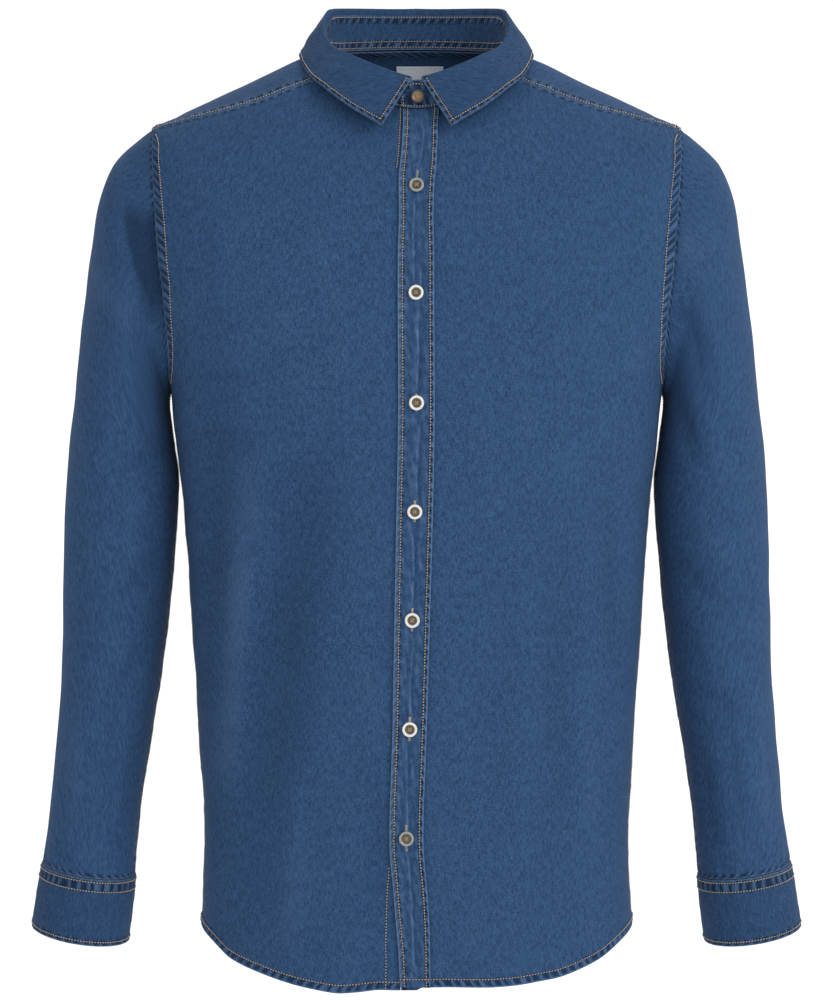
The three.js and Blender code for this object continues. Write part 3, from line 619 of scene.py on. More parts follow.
class Cloth:
    """Collects cloth walls and turns them into one mesh object."""

    def __init__(self):
        self.points, self.faces, self.weave, self.seam, self.tone, self.rim = [], [], [], [], [], []
        self.count = 0

    def wall(self, outer, normal, thickness, seams=(), tone=None, rims="tblr", weave=None, slant=0.2):
        """Adds a wall from its outer grid of points. seams gives the strip width of each sewn
        border by its letter: t, b, l, r. Distances are kept as shares of that width."""
        rows, columns = outer.shape[:2]
        borders = border_runs(outer)
        across, down = borders["l"][0], borders["t"][0]
        middle = across[:, columns // 2][:, None]
        flat = np.stack([across - middle, -down], axis=-1) if weave is None else weave
        nearest = np.full((rows, columns), 99.0)
        along = across.copy()
        rim = np.full((rows, columns), 20.0)
        for k, (side, width) in enumerate(dict(seams).items()):
            distance, run = borders[side]
            run = run + (slant if side in "tb" else 0) * distance
            rim = np.minimum(rim, distance)
            distance = distance * STRIP_UNIT / width
            closer = distance < nearest
            nearest = np.where(closer, distance, nearest)
            along = np.where(closer, run + 500 * k, along)
        shade = np.zeros((rows, columns)) if tone is None else np.broadcast_to(tone, (rows, columns))
        inner = outer - normal * np.asarray(thickness)[..., None]
        grid = self.count + np.arange(rows * columns).reshape(rows, columns)
        back = grid + rows * columns

        def quad(*corners):
            self.faces.append(np.stack([corner.ravel() for corner in corners], axis=1))

        quad(grid[:-1, :-1], grid[1:, :-1], grid[1:, 1:], grid[:-1, 1:])
        quad(back[:-1, :-1], back[:-1, 1:], back[1:, 1:], back[1:, :-1])
        if "t" in rims:
            quad(grid[0, :-1], grid[0, 1:], back[0, 1:], back[0, :-1])
        if "b" in rims:
            quad(grid[-1, :-1], back[-1, :-1], back[-1, 1:], grid[-1, 1:])
        if "l" in rims:
            quad(grid[:-1, 0], back[:-1, 0], back[1:, 0], grid[1:, 0])
        if "r" in rims:
            quad(grid[:-1, -1], grid[1:, -1], back[1:, -1], back[:-1, -1])
        for layer in (outer, inner):
            self.points.append(layer.reshape(-1, 3))
            self.weave.append(flat.reshape(-1, 2))
            self.seam.append(np.stack([along, nearest], axis=-1).reshape(-1, 2))
            self.tone.append(shade.ravel())
            self.rim.append(rim.ravel() * MM)
        self.count += 2 * rows * columns

    def build(self, name, material, mirror=False, weld=False):
        points = np.concatenate(self.points) * MM
        faces = np.concatenate(self.faces)
        if mirror:
            points = points * np.array([-1, 1, 1])
            faces = faces[:, ::-1]
        mesh = bpy.data.meshes.new(name)
        mesh.from_pydata(points.tolist(), [], faces.tolist())
        corners = faces.ravel()
        for layer, values in (("weave", self.weave), ("seam", self.seam)):
            data = np.concatenate(values)[corners] * MM
            mesh.uv_layers.new(name=layer).data.foreach_set("uv", data.ravel())
        for layer, values in (("tone", self.tone), ("rim", self.rim)):
            data = np.concatenate(values).astype(np.float32)
            mesh.attributes.new(layer, "FLOAT", "POINT").data.foreach_set("value", data)
        if weld:
            work = bmesh.new()
            work.from_mesh(mesh)
            bmesh.ops.remove_doubles(work, verts=work.verts, dist=2e-6)
            work.to_mesh(mesh)
            work.free()
        mesh.polygons.foreach_set("use_smooth", [True] * len(mesh.polygons))
        mesh.set_sharp_from_angle(angle=55 * RAD)
        mesh.materials.append(material)
        return place(name, mesh)


def place(name, mesh):
    piece = bpy.data.objects.new(name, mesh)
    bpy.context.scene.collection.objects.link(piece)
    return piece


def outward(points, like):
    """Directions square to a grid of points, on the side that like points to for the most part."""
    down = np.gradient(points, axis=0)
    across = np.gradient(points, axis=1)
    normal = unit(np.cross(down, across))
    return normal * np.sign((normal * like).sum())


class Stitches:
    """Collects rows of thread stitches that lie on the cloth."""

    def __init__(self):
        self.points, self.faces, self.slots = [], [], []
        self.count = 0

    def groove(self, path, normal, width):
        """Adds a dark strip of painted shadow under a row of stitches, where they sink into the cloth."""
        ahead = unit(np.gradient(path, axis=0))
        side = unit(np.cross(ahead, normal)) * width / 2
        lines = np.stack([path - side, path + side], axis=1).reshape(-1, 3)
        k = self.count + 2 * np.arange(len(path) - 1)
        self.faces.append(np.stack([k, k + 1, k + 3, k + 2], axis=1))
        self.slots.append(np.ones(len(k), int))
        self.points.append(lines)
        self.count += len(lines)

    def row(self, path, normal, length=None, gap=None, thick=None, groove=1.3):
        """Adds stitches along a path of points with the direction out of the cloth, on a dark strip of
        painted shadow unless its width is 0.
        """
        if groove:
            self.groove(path, normal, groove)
        sizes = bpy.context.scene.shirt_sizes
        length = length or sizes.stitch_length / MM
        gap = gap or sizes.stitch_gap / MM
        thick = thick or sizes.thread_thickness / MM
        run = np.concatenate([[0], np.cumsum(np.linalg.norm(np.diff(path, axis=0), axis=1))])
        count = int(run[-1] / (length + gap))
        if count < 1:
            return
        start = np.arange(count) * (run[-1] / count)
        shares = np.array([0, 0.2, 0.8, 1.0])
        heights = np.array([-0.35, 0.3, 0.3, -0.35]) * thick
        widths = np.array([0.3, 0.5, 0.5, 0.3]) * thick
        places = start[:, None] + shares * length
        at = lambda values: np.stack([np.interp(places, run, values[:, k]) for k in range(3)], axis=-1)
        centre, out = at(path), unit(at(normal))
        centre = centre + out * heights[None, :, None]
        ahead = unit(centre[:, -1:] - centre[:, :1])
        side = unit(np.cross(ahead, out))
        corners = [(-1, -0.4), (0, 0.9), (1, -0.4)]
        across, up = side * widths[None, :, None], out * widths[None, :, None]
        rings = [centre + across * a + up * b for a, b in corners]
        block = np.stack(rings, axis=2).reshape(count, -1, 3)
        base = self.count + 12 * np.arange(count)[:, None]
        for i in range(3):
            for j in range(3):
                k = (j + 1) % 3
                face = np.array([3 * i + j, 3 * i + k, 3 * i + 3 + k, 3 * i + 3 + j])
                self.faces.append(base + face)
                self.slots.append(np.zeros(count, int))
        self.points.append(block.reshape(-1, 3))
        self.count += 12 * count

    def build(self, name, material, mirror=False):
        points = np.concatenate(self.points) * MM
        faces = np.concatenate([f.reshape(-1, 4) for f in self.faces])
        if mirror:
            points = points * np.array([-1, 1, 1])
            faces = faces[:, ::-1]
        mesh = bpy.data.meshes.new(name)
        mesh.from_pydata(points.tolist(), [], faces.tolist())
        mesh.polygons.foreach_set("use_smooth", [True] * len(mesh.polygons))
        mesh.materials.append(material)
        # Second slot: the dark strips of painted shadow under the stitches.
        mesh.materials.append(stitch_shadow_material())
        mesh.polygons.foreach_set("material_index", np.concatenate(self.slots))
        piece = place(name, mesh)
        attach(piece, "root")
        return piece


def finish_cloth(piece, nodes, flat, area, held="hung", rests_on=()):
    """Hangs a cloth piece from the root and hides the solids that it stands for."""
    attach(piece, "root")
    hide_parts(*nodes)
    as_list(rests_on)


# Materials

class Nodes:
    """Short ways to add and join shader nodes."""

    def __init__(self, name):
        self.material = bpy.data.materials.new(name)
        self.material.use_nodes = True
        self.tree = self.material.node_tree
        self.tree.nodes.clear()
        self.out = self.tree.nodes.new("ShaderNodeOutputMaterial")
        self.shader = self.tree.nodes.new("ShaderNodeBsdfPrincipled")
        self.tree.links.new(self.shader.outputs[0], self.out.inputs[0])

    def add(self, kind, inputs=(), **settings):
        node = self.tree.nodes.new(kind)
        for key, value in settings.items():
            setattr(node, key, value)
        for key, value in dict(inputs).items():
            self.feed(node.inputs[key], value)
        return node

    def feed(self, socket, value):
        if isinstance(value, bpy.types.NodeSocket):
            self.tree.links.new(value, socket)
        else:
            socket.default_value = value

    def math(self, operation, a, b=0.0, clamp=False):
        node = self.add("ShaderNodeMath", {0: a, 1: b}, operation=operation, use_clamp=clamp)
        return node.outputs[0]

    def ramp(self, value, low, high, start=0.0, end=1.0):
        node = self.add("ShaderNodeMapRange", {0: value, 1: low, 2: high, 3: start, 4: end}, clamp=True)
        return node.outputs[0]

    def noise(self, vector, scale, detail=2.0, roughness=0.5):
        inputs = {"Vector": vector, "Scale": scale, "Detail": detail, "Roughness": roughness}
        return self.add("ShaderNodeTexNoise", inputs).outputs["Fac"]

    def wave(self, vector, scale, distortion, detail, detail_scale, direction):
        inputs = {"Vector": vector, "Scale": scale, "Distortion": distortion, "Detail": detail}
        inputs["Detail Scale"] = detail_scale
        node = self.add("ShaderNodeTexWave", inputs, wave_type="BANDS", bands_direction=direction)
        return node.outputs["Fac"]

    def attribute(self, name):
        return self.add("ShaderNodeAttribute", attribute_name=name, attribute_type="GEOMETRY").outputs["Fac"]

    def scaled(self, vector, x, y, z=1.0):
        node = self.add("ShaderNodeVectorMath", {0: vector, 1: (x, y, z)}, operation="MULTIPLY")
        return node.outputs[0]

    def mix(self, share, a, b, blend="MIX"):
        node = self.add("ShaderNodeMix", {0: share, 6: a, 7: b}, data_type="RGBA", blend_type=blend)
        return node.outputs[2]

    def bump(self, height, distance, strength=1.0, onto=None):
        inputs = {"Height": height, "Distance": distance, "Strength": strength}
        if onto is not None:
            inputs["Normal"] = onto
        return self.add("ShaderNodeBump", inputs).outputs[0]


def denim(name, tint=1.0, pucker=1.0):
    """Washed twill: uneven indigo yarns, pale slubs, and puckers worn pale beside seams, with painted shade
    in their troughs. The tone attribute adds painted highlight and painted shade of folds and creases, pale
    lines of wear and random blotches.
    """
    colours = bpy.context.scene.shirt_colours
    n = Nodes(name)
    weave = n.add("ShaderNodeUVMap", uv_map="weave").outputs[0]
    seam = n.add("ShaderNodeUVMap", uv_map="seam").outputs[0]
    split = n.add("ShaderNodeSeparateXYZ", {0: seam})
    distance = split.outputs[1]
    tone = n.attribute("tone")

    warp = n.noise(n.scaled(weave, 1.0, 0.2), 1100, 3, 0.65)
    slub = n.noise(n.scaled(weave, 0.4, 1.0), 950, 2, 0.6)
    mottle = n.noise(n.scaled(weave, 1.0, 0.45), 240, 3, 0.6)
    cloud = n.noise(weave, 16, 3, 0.6)
    yarn = n.math("ADD", n.math("MULTIPLY", warp, 0.5), n.math("MULTIPLY", slub, 0.28))
    yarn = n.math("ADD", yarn, n.math("MULTIPLY", mottle, 0.22))
    share = n.ramp(yarn, 0.395, 0.605)

    strip = n.ramp(distance, 0.0053, 0.0049)
    beside = n.math("MAXIMUM", strip, n.ramp(distance, 0.0085, 0.0048, 0.0, 0.35))
    wave = n.wave(n.scaled(seam, 1.0, 0.3), 39, 4.0, 2.0, 3.4, "X")
    speck = n.noise(n.scaled(seam, 1.0, 0.6), 420, 2, 0.6)
    bars = n.math("ADD", n.math("MULTIPLY", wave, 0.62), n.math("MULTIPLY", speck, 0.58))
    middle = n.math("MULTIPLY", n.ramp(distance, 0.0004, 0.0013), n.ramp(distance, 0.0052, 0.0042, 0.3, 1.0))
    crest_share = n.math("MULTIPLY", n.ramp(bars, 0.74, 0.94), beside)
    trough_shade_share = n.math("MULTIPLY", n.math("MULTIPLY", n.ramp(bars, 0.68, 0.4), beside), middle)
    edge = n.ramp(n.attribute("rim"), 0.0015, 0.0004)

    dark = tuple(colours.denim_dark) + (1.0,)
    pale = tuple(colours.denim_pale) + (1.0,)
    # Pale colour of wear at edges and pucker crests, also used as painted highlight on fold ridges.
    worn = tuple(colours.denim_wear_and_highlight) + (1.0,)
    # Darker than any yarn: painted shade, for pucker troughs, fold troughs and creases, and the dark side of
    # random blotches.
    deep = tuple(0.55 * c for c in colours.denim_dark) + (1.0,)
    colour = n.mix(share, dark, pale)
    colour = n.mix(n.ramp(cloud, 0.3, 0.75, 0.0, 0.14), colour, pale)
    colour = n.mix(n.math("MULTIPLY", crest_share, 0.34 * pucker), colour, worn)
    # Painted shade down in the pucker troughs beside seams.
    colour = n.mix(n.math("MULTIPLY", trough_shade_share, 0.8 * pucker, clamp=True), colour, deep)
    colour = n.mix(n.math("MULTIPLY", edge, 0.42 * pucker), colour, worn)
    # The tone attribute: paler as painted highlight on fold ridges and as wear on the placket's creases and
    # edges; darker as painted shade in fold troughs and beside creases, and as random blotches.
    lighter = n.ramp(tone, 0.0, 1.0)
    darker = n.ramp(tone, 0.0, -1.0)
    colour = n.mix(n.math("MULTIPLY", lighter, 0.6), colour, worn)
    colour = n.mix(n.math("MULTIPLY", darker, 0.7), colour, deep)
    if tint != 1.0:
        colour = n.mix(1.0, colour, (tint, tint, tint, 1.0), "MULTIPLY")
    n.feed(n.shader.inputs["Base Color"], colour)

    twill = n.wave(n.scaled(weave, 1.0, 0.55), 330, 1.2, 1.0, 1.0, "DIAGONAL")
    surface = n.bump(twill, 0.00012, 0.5)
    surface = n.bump(yarn, 0.0003, 0.6, surface)
    ridges = n.math("MULTIPLY", bars, beside)
    surface = n.bump(ridges, 0.0016, 0.8 * pucker, surface)
    n.feed(n.shader.inputs["Normal"], surface)
    n.feed(n.shader.inputs["Roughness"], n.ramp(share, 0.0, 1.0, 0.94, 0.82))
    n.shader.inputs["Specular IOR Level"].default_value = 0.1
    n.shader.inputs["Sheen Weight"].default_value = 0.04
    n.shader.inputs["Sheen Roughness"].default_value = 0.5
    n.shader.inputs["Sheen Tint"].default_value = (0.6, 0.72, 0.9, 1.0)
    return n.material


def thread_material(name, colour):
    n = Nodes(name)
    place_in = n.add("ShaderNodeTexCoord").outputs["Object"]
    uneven = n.noise(place_in, 260, 3, 0.6)
    base = tuple(colour) + (1.0,)
    faded = tuple(0.55 * c + 0.1 for c in colour) + (1.0,)
    n.feed(n.shader.inputs["Base Color"], n.mix(n.ramp(uneven, 0.35, 0.7), base, faded))
    n.feed(n.shader.inputs["Normal"], n.bump(n.noise(place_in, 2400, 1), 0.0001, 0.6))
    n.shader.inputs["Roughness"].default_value = 0.75
    return n.material


def horn(name, rim, centre, inner_radius, outer_radius):
    """Horn-like button: a pale rim that turns to a streaky brown middle."""
    n = Nodes(name)
    ring = n.add("ShaderNodeAttribute", attribute_name="ring", attribute_type="GEOMETRY").outputs["Fac"]
    place_in = n.add("ShaderNodeTexCoord").outputs["Object"]
    cloud = n.noise(place_in, 420, 3, 0.6)
    edge = n.math("ADD", ring, n.math("MULTIPLY", n.math("SUBTRACT", cloud, 0.5), 0.12))
    share = n.ramp(edge, inner_radius, outer_radius)
    rim_colour = n.mix(cloud, tuple(rim) + (1.0,), tuple(0.72 * c for c in rim) + (1.0,))
    centre_colour = n.mix(cloud, tuple(centre) + (1.0,), tuple(1.9 * c for c in centre) + (1.0,))
    n.feed(n.shader.inputs["Base Color"], n.mix(share, centre_colour, rim_colour))
    n.feed(n.shader.inputs["Normal"], n.bump(cloud, 0.0002, 0.3))
    n.shader.inputs["Roughness"].default_value = 0.34
    n.shader.inputs["Coat Weight"].default_value = 0.25
    n.shader.inputs["Coat Roughness"].default_value = 0.2
    return n.material


def material(name, make, *values):
    """The material of that name, made the first time that it is asked for."""
    return bpy.data.materials.get(name) or make(name, *values)


def cloth_material():
    return material("washed_denim", denim)


def edge_material():
    return material("washed_denim_edges", denim, 0.84, 1.1)


def placket_material():
    return material("washed_denim_placket", denim, 1.0, 1.15)


# Near-black for the strips of painted shadow under the stitches.
def stitch_shadow_material():
    return material("stitch_groove", plain, (0.012, 0.016, 0.028), 0.95)


def thread():
    return material("tan_thread", thread_material, bpy.context.scene.shirt_colours.thread)


# Grids of points on the body

def respace(angle, key, axis, start_marks, end_marks, count):
    """Moves grid lines to exact distances from two borders, and evenly apart between them."""
    if axis == 0:
        angle, key = angle.T, key.T
    line = body_base(angle, key)
    run = run_along(line, 1)
    start, end = np.array(start_marks, float), np.array(end_marks, float)
    angles, keys = [], []
    for i in range(len(line)):
        total = run[i, -1]
        even = np.linspace(start[-1], total - end[-1], count)
        places = np.concatenate([start[:-1], even, total - end[-2::-1]])
        angles.append(np.interp(places, run[i], angle[i]))
        keys.append(np.interp(places, run[i], key[i]))
    angle, key = np.array(angles), np.array(keys)
    return (angle.T, key.T) if axis == 0 else (angle, key)


def border_runs(grid):
    """Distance from each border of a grid and the run along it: t, b, l and r."""
    across, down = run_along(grid, 1), run_along(grid, 0)
    return {
        "t": (down, across),
        "b": (down[-1:] - down, across),
        "l": (across, down),
        "r": (across[:, -1:] - across, down),
    }


def puckers(runs, sides, pitch, reach, seed, slant=0.0):
    """Uneven puckers that fade away from the named borders. They are flat on the border itself."""
    depth = bpy.context.scene.shirt_sizes.pucker_depth / MM
    total = 0.0
    for k, side in enumerate(sides):
        distance, run = runs[side]
        wave = ripple(run + slant * distance, pitch, seed + 5 * k)
        total = total + depth * wave * np.exp(-((distance / reach) ** 2)) * smooth(0, 3, distance)
    return total


def seam_rise(runs, sides, width):
    """Height of a folded seam that stands proud of the panel along the named borders."""
    rise = bpy.context.scene.shirt_sizes.seam_rise / MM
    nearest = np.min([runs[side][0] for side in sides], axis=0)
    return rise * smooth(width + 0.9, width, nearest)


def seam_line(grid, normal, side, inset, lift=0.1, span=(0.0, 1.0)):
    """Points and directions along a border of a grid, an inset away from it. Several
    insets are spread evenly from the start to the end."""
    if side in "tb":
        grid, normal = np.swapaxes(grid, 0, 1), np.swapaxes(normal, 0, 1)
    if side in "rb":
        grid, normal = grid[:, ::-1], normal[:, ::-1]
    first, last = int(span[0] * (len(grid) - 1)), int(round(span[1] * (len(grid) - 1))) + 1
    grid, normal = grid[first:last], normal[first:last]
    run = run_along(grid, 1)
    inset = np.ravel(inset)
    insets = np.interp(np.linspace(0, 1, len(grid)), np.linspace(0, 1, len(inset)), inset)
    pick = lambda values, i: [np.interp(insets[i], run[i], values[i, :, k]) for k in range(3)]
    line = np.array([pick(grid, i) for i in range(len(grid))])
    out = unit(np.array([pick(normal, i) for i in range(len(grid))]))
    return line + out * lift, out


SEAM_MARKS = [0, 0.8, 3.0, 5.5, 8.5, 11.6, 12.6, 15.5, 17, 18.2, 21]
EDGE_MARKS = [0, 1.5, 4.0]


def panel_rows(first_turn):
    """Ring keys from the yoke seam to the hem, and the angle of the armhole or side there."""
    turns = np.linspace(first_turn, math.pi, 50)
    side_keys = np.linspace(ARMHOLE_BOTTOM, HEM_KEY + 12, 110)[1:]
    hem_keys = np.linspace(HEM_KEY + 12, HEM_KEY, 18)[1:]
    keys = np.concatenate([armhole_key(turns), side_keys, hem_keys])
    edges = np.concatenate([armhole_angle(turns), 0 * side_keys, 0 * hem_keys])
    return keys, edges


def body_weave(point, key):
    """Where the yarns run: upright on the fronts and back, whatever the rings do."""
    x, y, z = point[..., 0], point[..., 1], point[..., 2]
    ring = BODY.at(key)
    depth = np.where(y < 0, ring["front_depth"], ring["back_depth"])
    off_middle = np.abs(x) + 62 * (1 - np.minimum(np.abs(y) / depth, 1))
    return stack(np.sign(x) * off_middle + np.where(y > 0, 700, 0), z, 0 * z)[..., :2]


def painted_fold_shading(point):
    """Painted light and shade of the folds: pale on the ridges as painted highlight, and dark down in the
    troughs as painted shade.
    """
    return np.clip(body_folds(point) * 0.09, -0.5, 0.4)


def armhole_strip(rows):
    """Width of the strip beside a front's shoulder seam, armhole and side seam, row by row."""
    return np.interp(np.arange(rows) / (rows - 1), *zip(*ARMHOLE_STRIP))[:, None]


def front_panel(side):
    """Grid of a front panel: side 1 is the wearer's left, -1 the right."""
    seam_key, seam_angle = armhole_key(YOKE_FRONT_TURN), armhole_angle(YOKE_FRONT_TURN)
    shoulder = np.linspace(NECK_KEY - 0.2, seam_key, 24)[:-1]
    t = (shoulder - NECK_KEY) / (seam_key - NECK_KEY)
    keys, edges = panel_rows(YOKE_FRONT_TURN)
    keys = np.concatenate([shoulder, keys])
    forward = lerp(YOKE_NECK_ANGLE, seam_angle, t) - FORWARD_BOW * np.sin(math.pi * t)
    edges = np.concatenate([forward, edges])
    start = front_angle(side * (BAND_WIDTH + 0.3) / 2, keys)
    start = start if side > 0 else -math.pi - start
    share = np.linspace(0, 1, 200)
    angle = start[:, None] + (edges - start)[:, None] * share
    key = np.broadcast_to(keys[:, None], angle.shape)
    angle, key = respace(angle, key, 1, EDGE_MARKS, SEAM_MARKS, 50)
    if side < 0:
        angle = -math.pi - angle
    base, normal = body_point(angle, key)
    runs = border_runs(base)
    fade = smooth(-250, -205, key) * smooth(seam_key + 14, seam_key - 4, key)
    rise = seam_rise(runs, "r", armhole_strip(len(keys))) * fade
    rise = np.maximum(rise, seam_rise(runs, "b", 7.6))
    lift = rise + puckers(runs, "r", 9, 9, 31 + side) + puckers(runs, "b", 8, 6, 41 + side, 0.7)
    lift = lift + puckers(runs, "t", 12, 7, 51 + side) * 0.6
    grid, normal = body_point(angle, key, lift)
    grid[..., 2] += hem_lift(grid)
    return grid, normal, body_weave(base, key)


class ShirtPiece:
    """Shared parts of the operators that make a piece."""

    bl_options = {"REGISTER", "UNDO"}

    def execute(self, context):
        self.sizes = context.scene.shirt_sizes
        self.cloth = self.sizes.cloth_thickness / MM
        self.make(context)
        return {"FINISHED"}


class SHIRT_OT_front_panels(ShirtPiece, bpy.types.Operator):
    """Makes the two front panels with their hems, armhole seams and stitching"""

    bl_idname = "shirt.front_panels"
    bl_label = "Front panels"

    def make(self, context):
        for side, name in ((1, "front_left"), (-1, "front_right")):
            grid, normal, weave = front_panel(side)
            if side < 0:
                grid, normal, weave = grid[:, ::-1], normal[:, ::-1], weave[:, ::-1]
            cloth = Cloth()
            seam, edge = ("r", "l") if side > 0 else ("l", "r")
            strip = armhole_strip(len(grid))
            widths = {"b": 7, seam: strip}
            cloth.wall(grid, normal, self.cloth, widths, painted_fold_shading(grid), weave=weave, slant=0.6 * side)
            piece = cloth.build(name + "_cloth", cloth_material())
            finish_cloth(piece, [name + "_upper", name + "_lower"], *CUTS["front"])
            rows = Stitches()
            first, last = int(0.119 * (len(grid) - 1)), int(0.34 * (len(grid) - 1))
            rows.row(*seam_line(grid, normal, seam, strip[first:last] - 0.9, span=(0.119, 0.34)))
            rows.row(*seam_line(grid, normal, seam, 1.6, span=(0.42, 1)))
            rows.row(*seam_line(grid, normal, seam, 7.0, span=(0.42, 1)))
            rows.row(*seam_line(grid, normal, "b", 6.4))
            if side < 0:
                rows.row(*seam_line(grid, normal, edge, 5.2, span=(0, 0.06)))
                rows.row(*seam_line(grid, normal, edge, FOOT_INSETS, span=(0.84, 1)))
            rows.build(name + "_stitches", thread())


class SHIRT_OT_back(ShirtPiece, bpy.types.Operator):
    """Makes the back panel, which hangs from the yoke seam"""

    bl_idname = "shirt.back"
    bl_label = "Back"

    def make(self, context):
        keys, edges = panel_rows(-YOKE_BACK_TURN)
        share = np.linspace(0, 1, 260)
        angle = -edges[:, None] + (math.pi + 2 * edges)[:, None] * share
        key = np.broadcast_to(keys[:, None], angle.shape)
        angle, key = respace(angle, key, 1, SEAM_MARKS, SEAM_MARKS, 84)
        base, normal = body_point(angle, key)
        runs = border_runs(base)
        fade = smooth(-250, -205, key)
        rise = seam_rise(runs, "lr", 12) * fade
        rise = np.maximum(rise, seam_rise(runs, "b", 7.6))
        lift = rise + puckers(runs, "lr", 9, 9, 61) + puckers(runs, "b", 8, 6, 71, 0.7)
        lift = lift + puckers(runs, "t", 11, 8, 81)
        grid, normal = body_point(angle, key, lift)
        grid[..., 2] += hem_lift(grid)
        cloth = Cloth()
        widths = {"t": 6, "b": 7, "l": 12, "r": 12}
        cloth.wall(grid, normal, self.cloth, widths, painted_fold_shading(grid), weave=body_weave(base, key), slant=0.6)
        finish_cloth(cloth.build("back_cloth", cloth_material()), ["back"], *CUTS["back"])
        rows = Stitches()
        for side in "lr":
            rows.row(*seam_line(grid, normal, side, 11.2, span=(0, 0.24)))
        rows.row(*seam_line(grid, normal, "b", 6.4))
        rows.build("back_stitches", thread())


class SHIRT_OT_yoke(ShirtPiece, bpy.types.Operator):
    """Makes the yoke over the shoulders"""

    bl_idname = "shirt.yoke"
    bl_label = "Yoke"

    def make(self, context):
        turns = np.linspace(YOKE_FRONT_TURN, YOKE_BACK_TURN, 46)
        back_edge, back_key = armhole_angle(YOKE_BACK_TURN), armhole_key(YOKE_BACK_TURN)
        corner = 20 * RAD
        back = np.linspace(back_edge, math.pi / 2, 60)[1:]
        low_angle = np.concatenate([armhole_angle(turns), back])
        low_key = np.concatenate([armhole_key(turns), np.full(len(back), back_key)])
        neck_side = np.linspace(YOKE_NECK_ANGLE, corner, len(turns))
        neck_angle = np.concatenate([neck_side, np.linspace(corner, math.pi / 2, 60)[1:]])
        low_angle = np.concatenate([low_angle, math.pi - low_angle[-2::-1]])
        neck_angle = np.concatenate([neck_angle, math.pi - neck_angle[-2::-1]])
        low_key = np.concatenate([low_key, low_key[-2::-1]])
        t = np.linspace(0, 1, 140)[:, None]
        top = NECK_KEY - 0.2
        key = lerp(top, low_key[None, :] + 0.2, t)
        place_in = np.linspace(0, 2, len(low_angle))
        forward = smooth(0.17, 0, place_in) - smooth(1.83, 2, place_in)
        angle = lerp(neck_angle[None, :], low_angle[None, :], t)
        angle = angle - FORWARD_BOW * forward[None, :] * np.sin(math.pi * t)
        angle, key = respace(angle, key, 0, EDGE_MARKS, SEAM_MARKS, 34)
        base, normal = body_point(angle, key)
        runs = border_runs(base)
        rise = seam_rise(runs, "blr", 8.2)
        lift = rise + puckers(runs, "b", 9, 9, 91) + puckers(runs, "lr", 8, 9, 101)
        lift = lift + puckers(runs, "t", 10, 8, 111) * 0.6
        grid, normal = body_point(angle, key, lift)
        cloth = Cloth()
        cloth.wall(grid, normal, self.cloth, {"t": 6, "b": 8, "l": 7, "r": 7}, painted_fold_shading(grid))
        finish_cloth(cloth.build("yoke_cloth", cloth_material()), ["yoke"], *CUTS["yoke"])
        rows = Stitches()
        for side in "lr":
            rows.row(*seam_line(grid, normal, side, 2.2))
        rows.row(*seam_line(grid, normal, "b", 1.6))
        rows.row(*seam_line(grid, normal, "b", 7.0))
        rows.build("yoke_stitches", thread())


def height_at(key):
    """Height of the middle of the front at a ring key."""
    return BODY.at(key)["front"]


def front_strip(half_width, columns, bottom, thickness, top_key, seed, taper=0.0):
    """Grid of a strip down the middle of the front, and the direction out of it."""
    keys = np.linspace(top_key, HEM_KEY, 1200)
    height = BODY.at(keys)["front"]
    run = (height[0] - height) / (height[0] - height[-1])
    keys = np.interp(np.linspace(0, 1, 300), run, keys)
    inner = np.linspace(-half_width + 1.6, half_width - 1.6, columns)
    offsets = np.concatenate([[-half_width, -half_width + 0.6], inner, [half_width - 0.6, half_width]])
    narrow = 1 - taper * (smooth(-350, -600, height_at(keys)) + 1.3 * smooth(-680, -752, height_at(keys)))
    angle = np.stack([front_angle(offset * narrow, keys) for offset in offsets], axis=1)
    key = np.broadcast_to(keys[:, None], angle.shape)
    base, normal = body_point(angle, key)
    runs = border_runs(base)
    crease = unevenness(offsets[None, :] * np.ones_like(key), runs["l"][1] * 0.09, 8, seed) * 0.22
    crease = crease * smooth(0, 2.5, runs["l"][0]) * smooth(0, 2.5, runs["r"][0])
    lift = bottom + thickness + crease + puckers(runs, "lr", 7, 4.5, seed) * 0.8
    grid, normal = body_point(angle, key, lift)
    return grid, normal, crease_tone(offsets[None, :], grid[..., 2])


def crease_tone(offset, height):
    """Pale lines of wear, each with a dark line of painted shade beside it, that wander down the placket."""
    tone = 0 * (offset + height)
    for line in PLACKET_CREASES:
        ends = smooth(line[0][1], line[0][1] - 12, height) * smooth(line[-1][1], line[-1][1] + 12, height)
        heights = [point[1] for point in line][::-1]
        middle = np.interp(height, heights, [point[0] for point in line][::-1])
        tone = tone + 0.62 * ends * np.exp(-(((offset - middle) / 0.75) ** 2))
        # The dark line beside each crease is painted shade.
        tone = tone - 0.45 * ends * np.exp(-(((offset - middle - 2.0) / 1.5) ** 2))
    half = PLACKET_WIDTH / 2
    tone = tone + 0.5 * smooth(3.6 - half, 2.8 - half, offset) + 0.45 * smooth(half - 1.6, half - 0.8, offset)
    blotch = unevenness(offset + 0 * height, height * 0.5 + 0 * offset, 7, 301)
    within = smooth(4.2 - half, 5.4 - half, offset) * smooth(half - 4.2, half - 5.4, offset)
    return np.clip(tone + 0.4 * blotch * within, -1, 1)


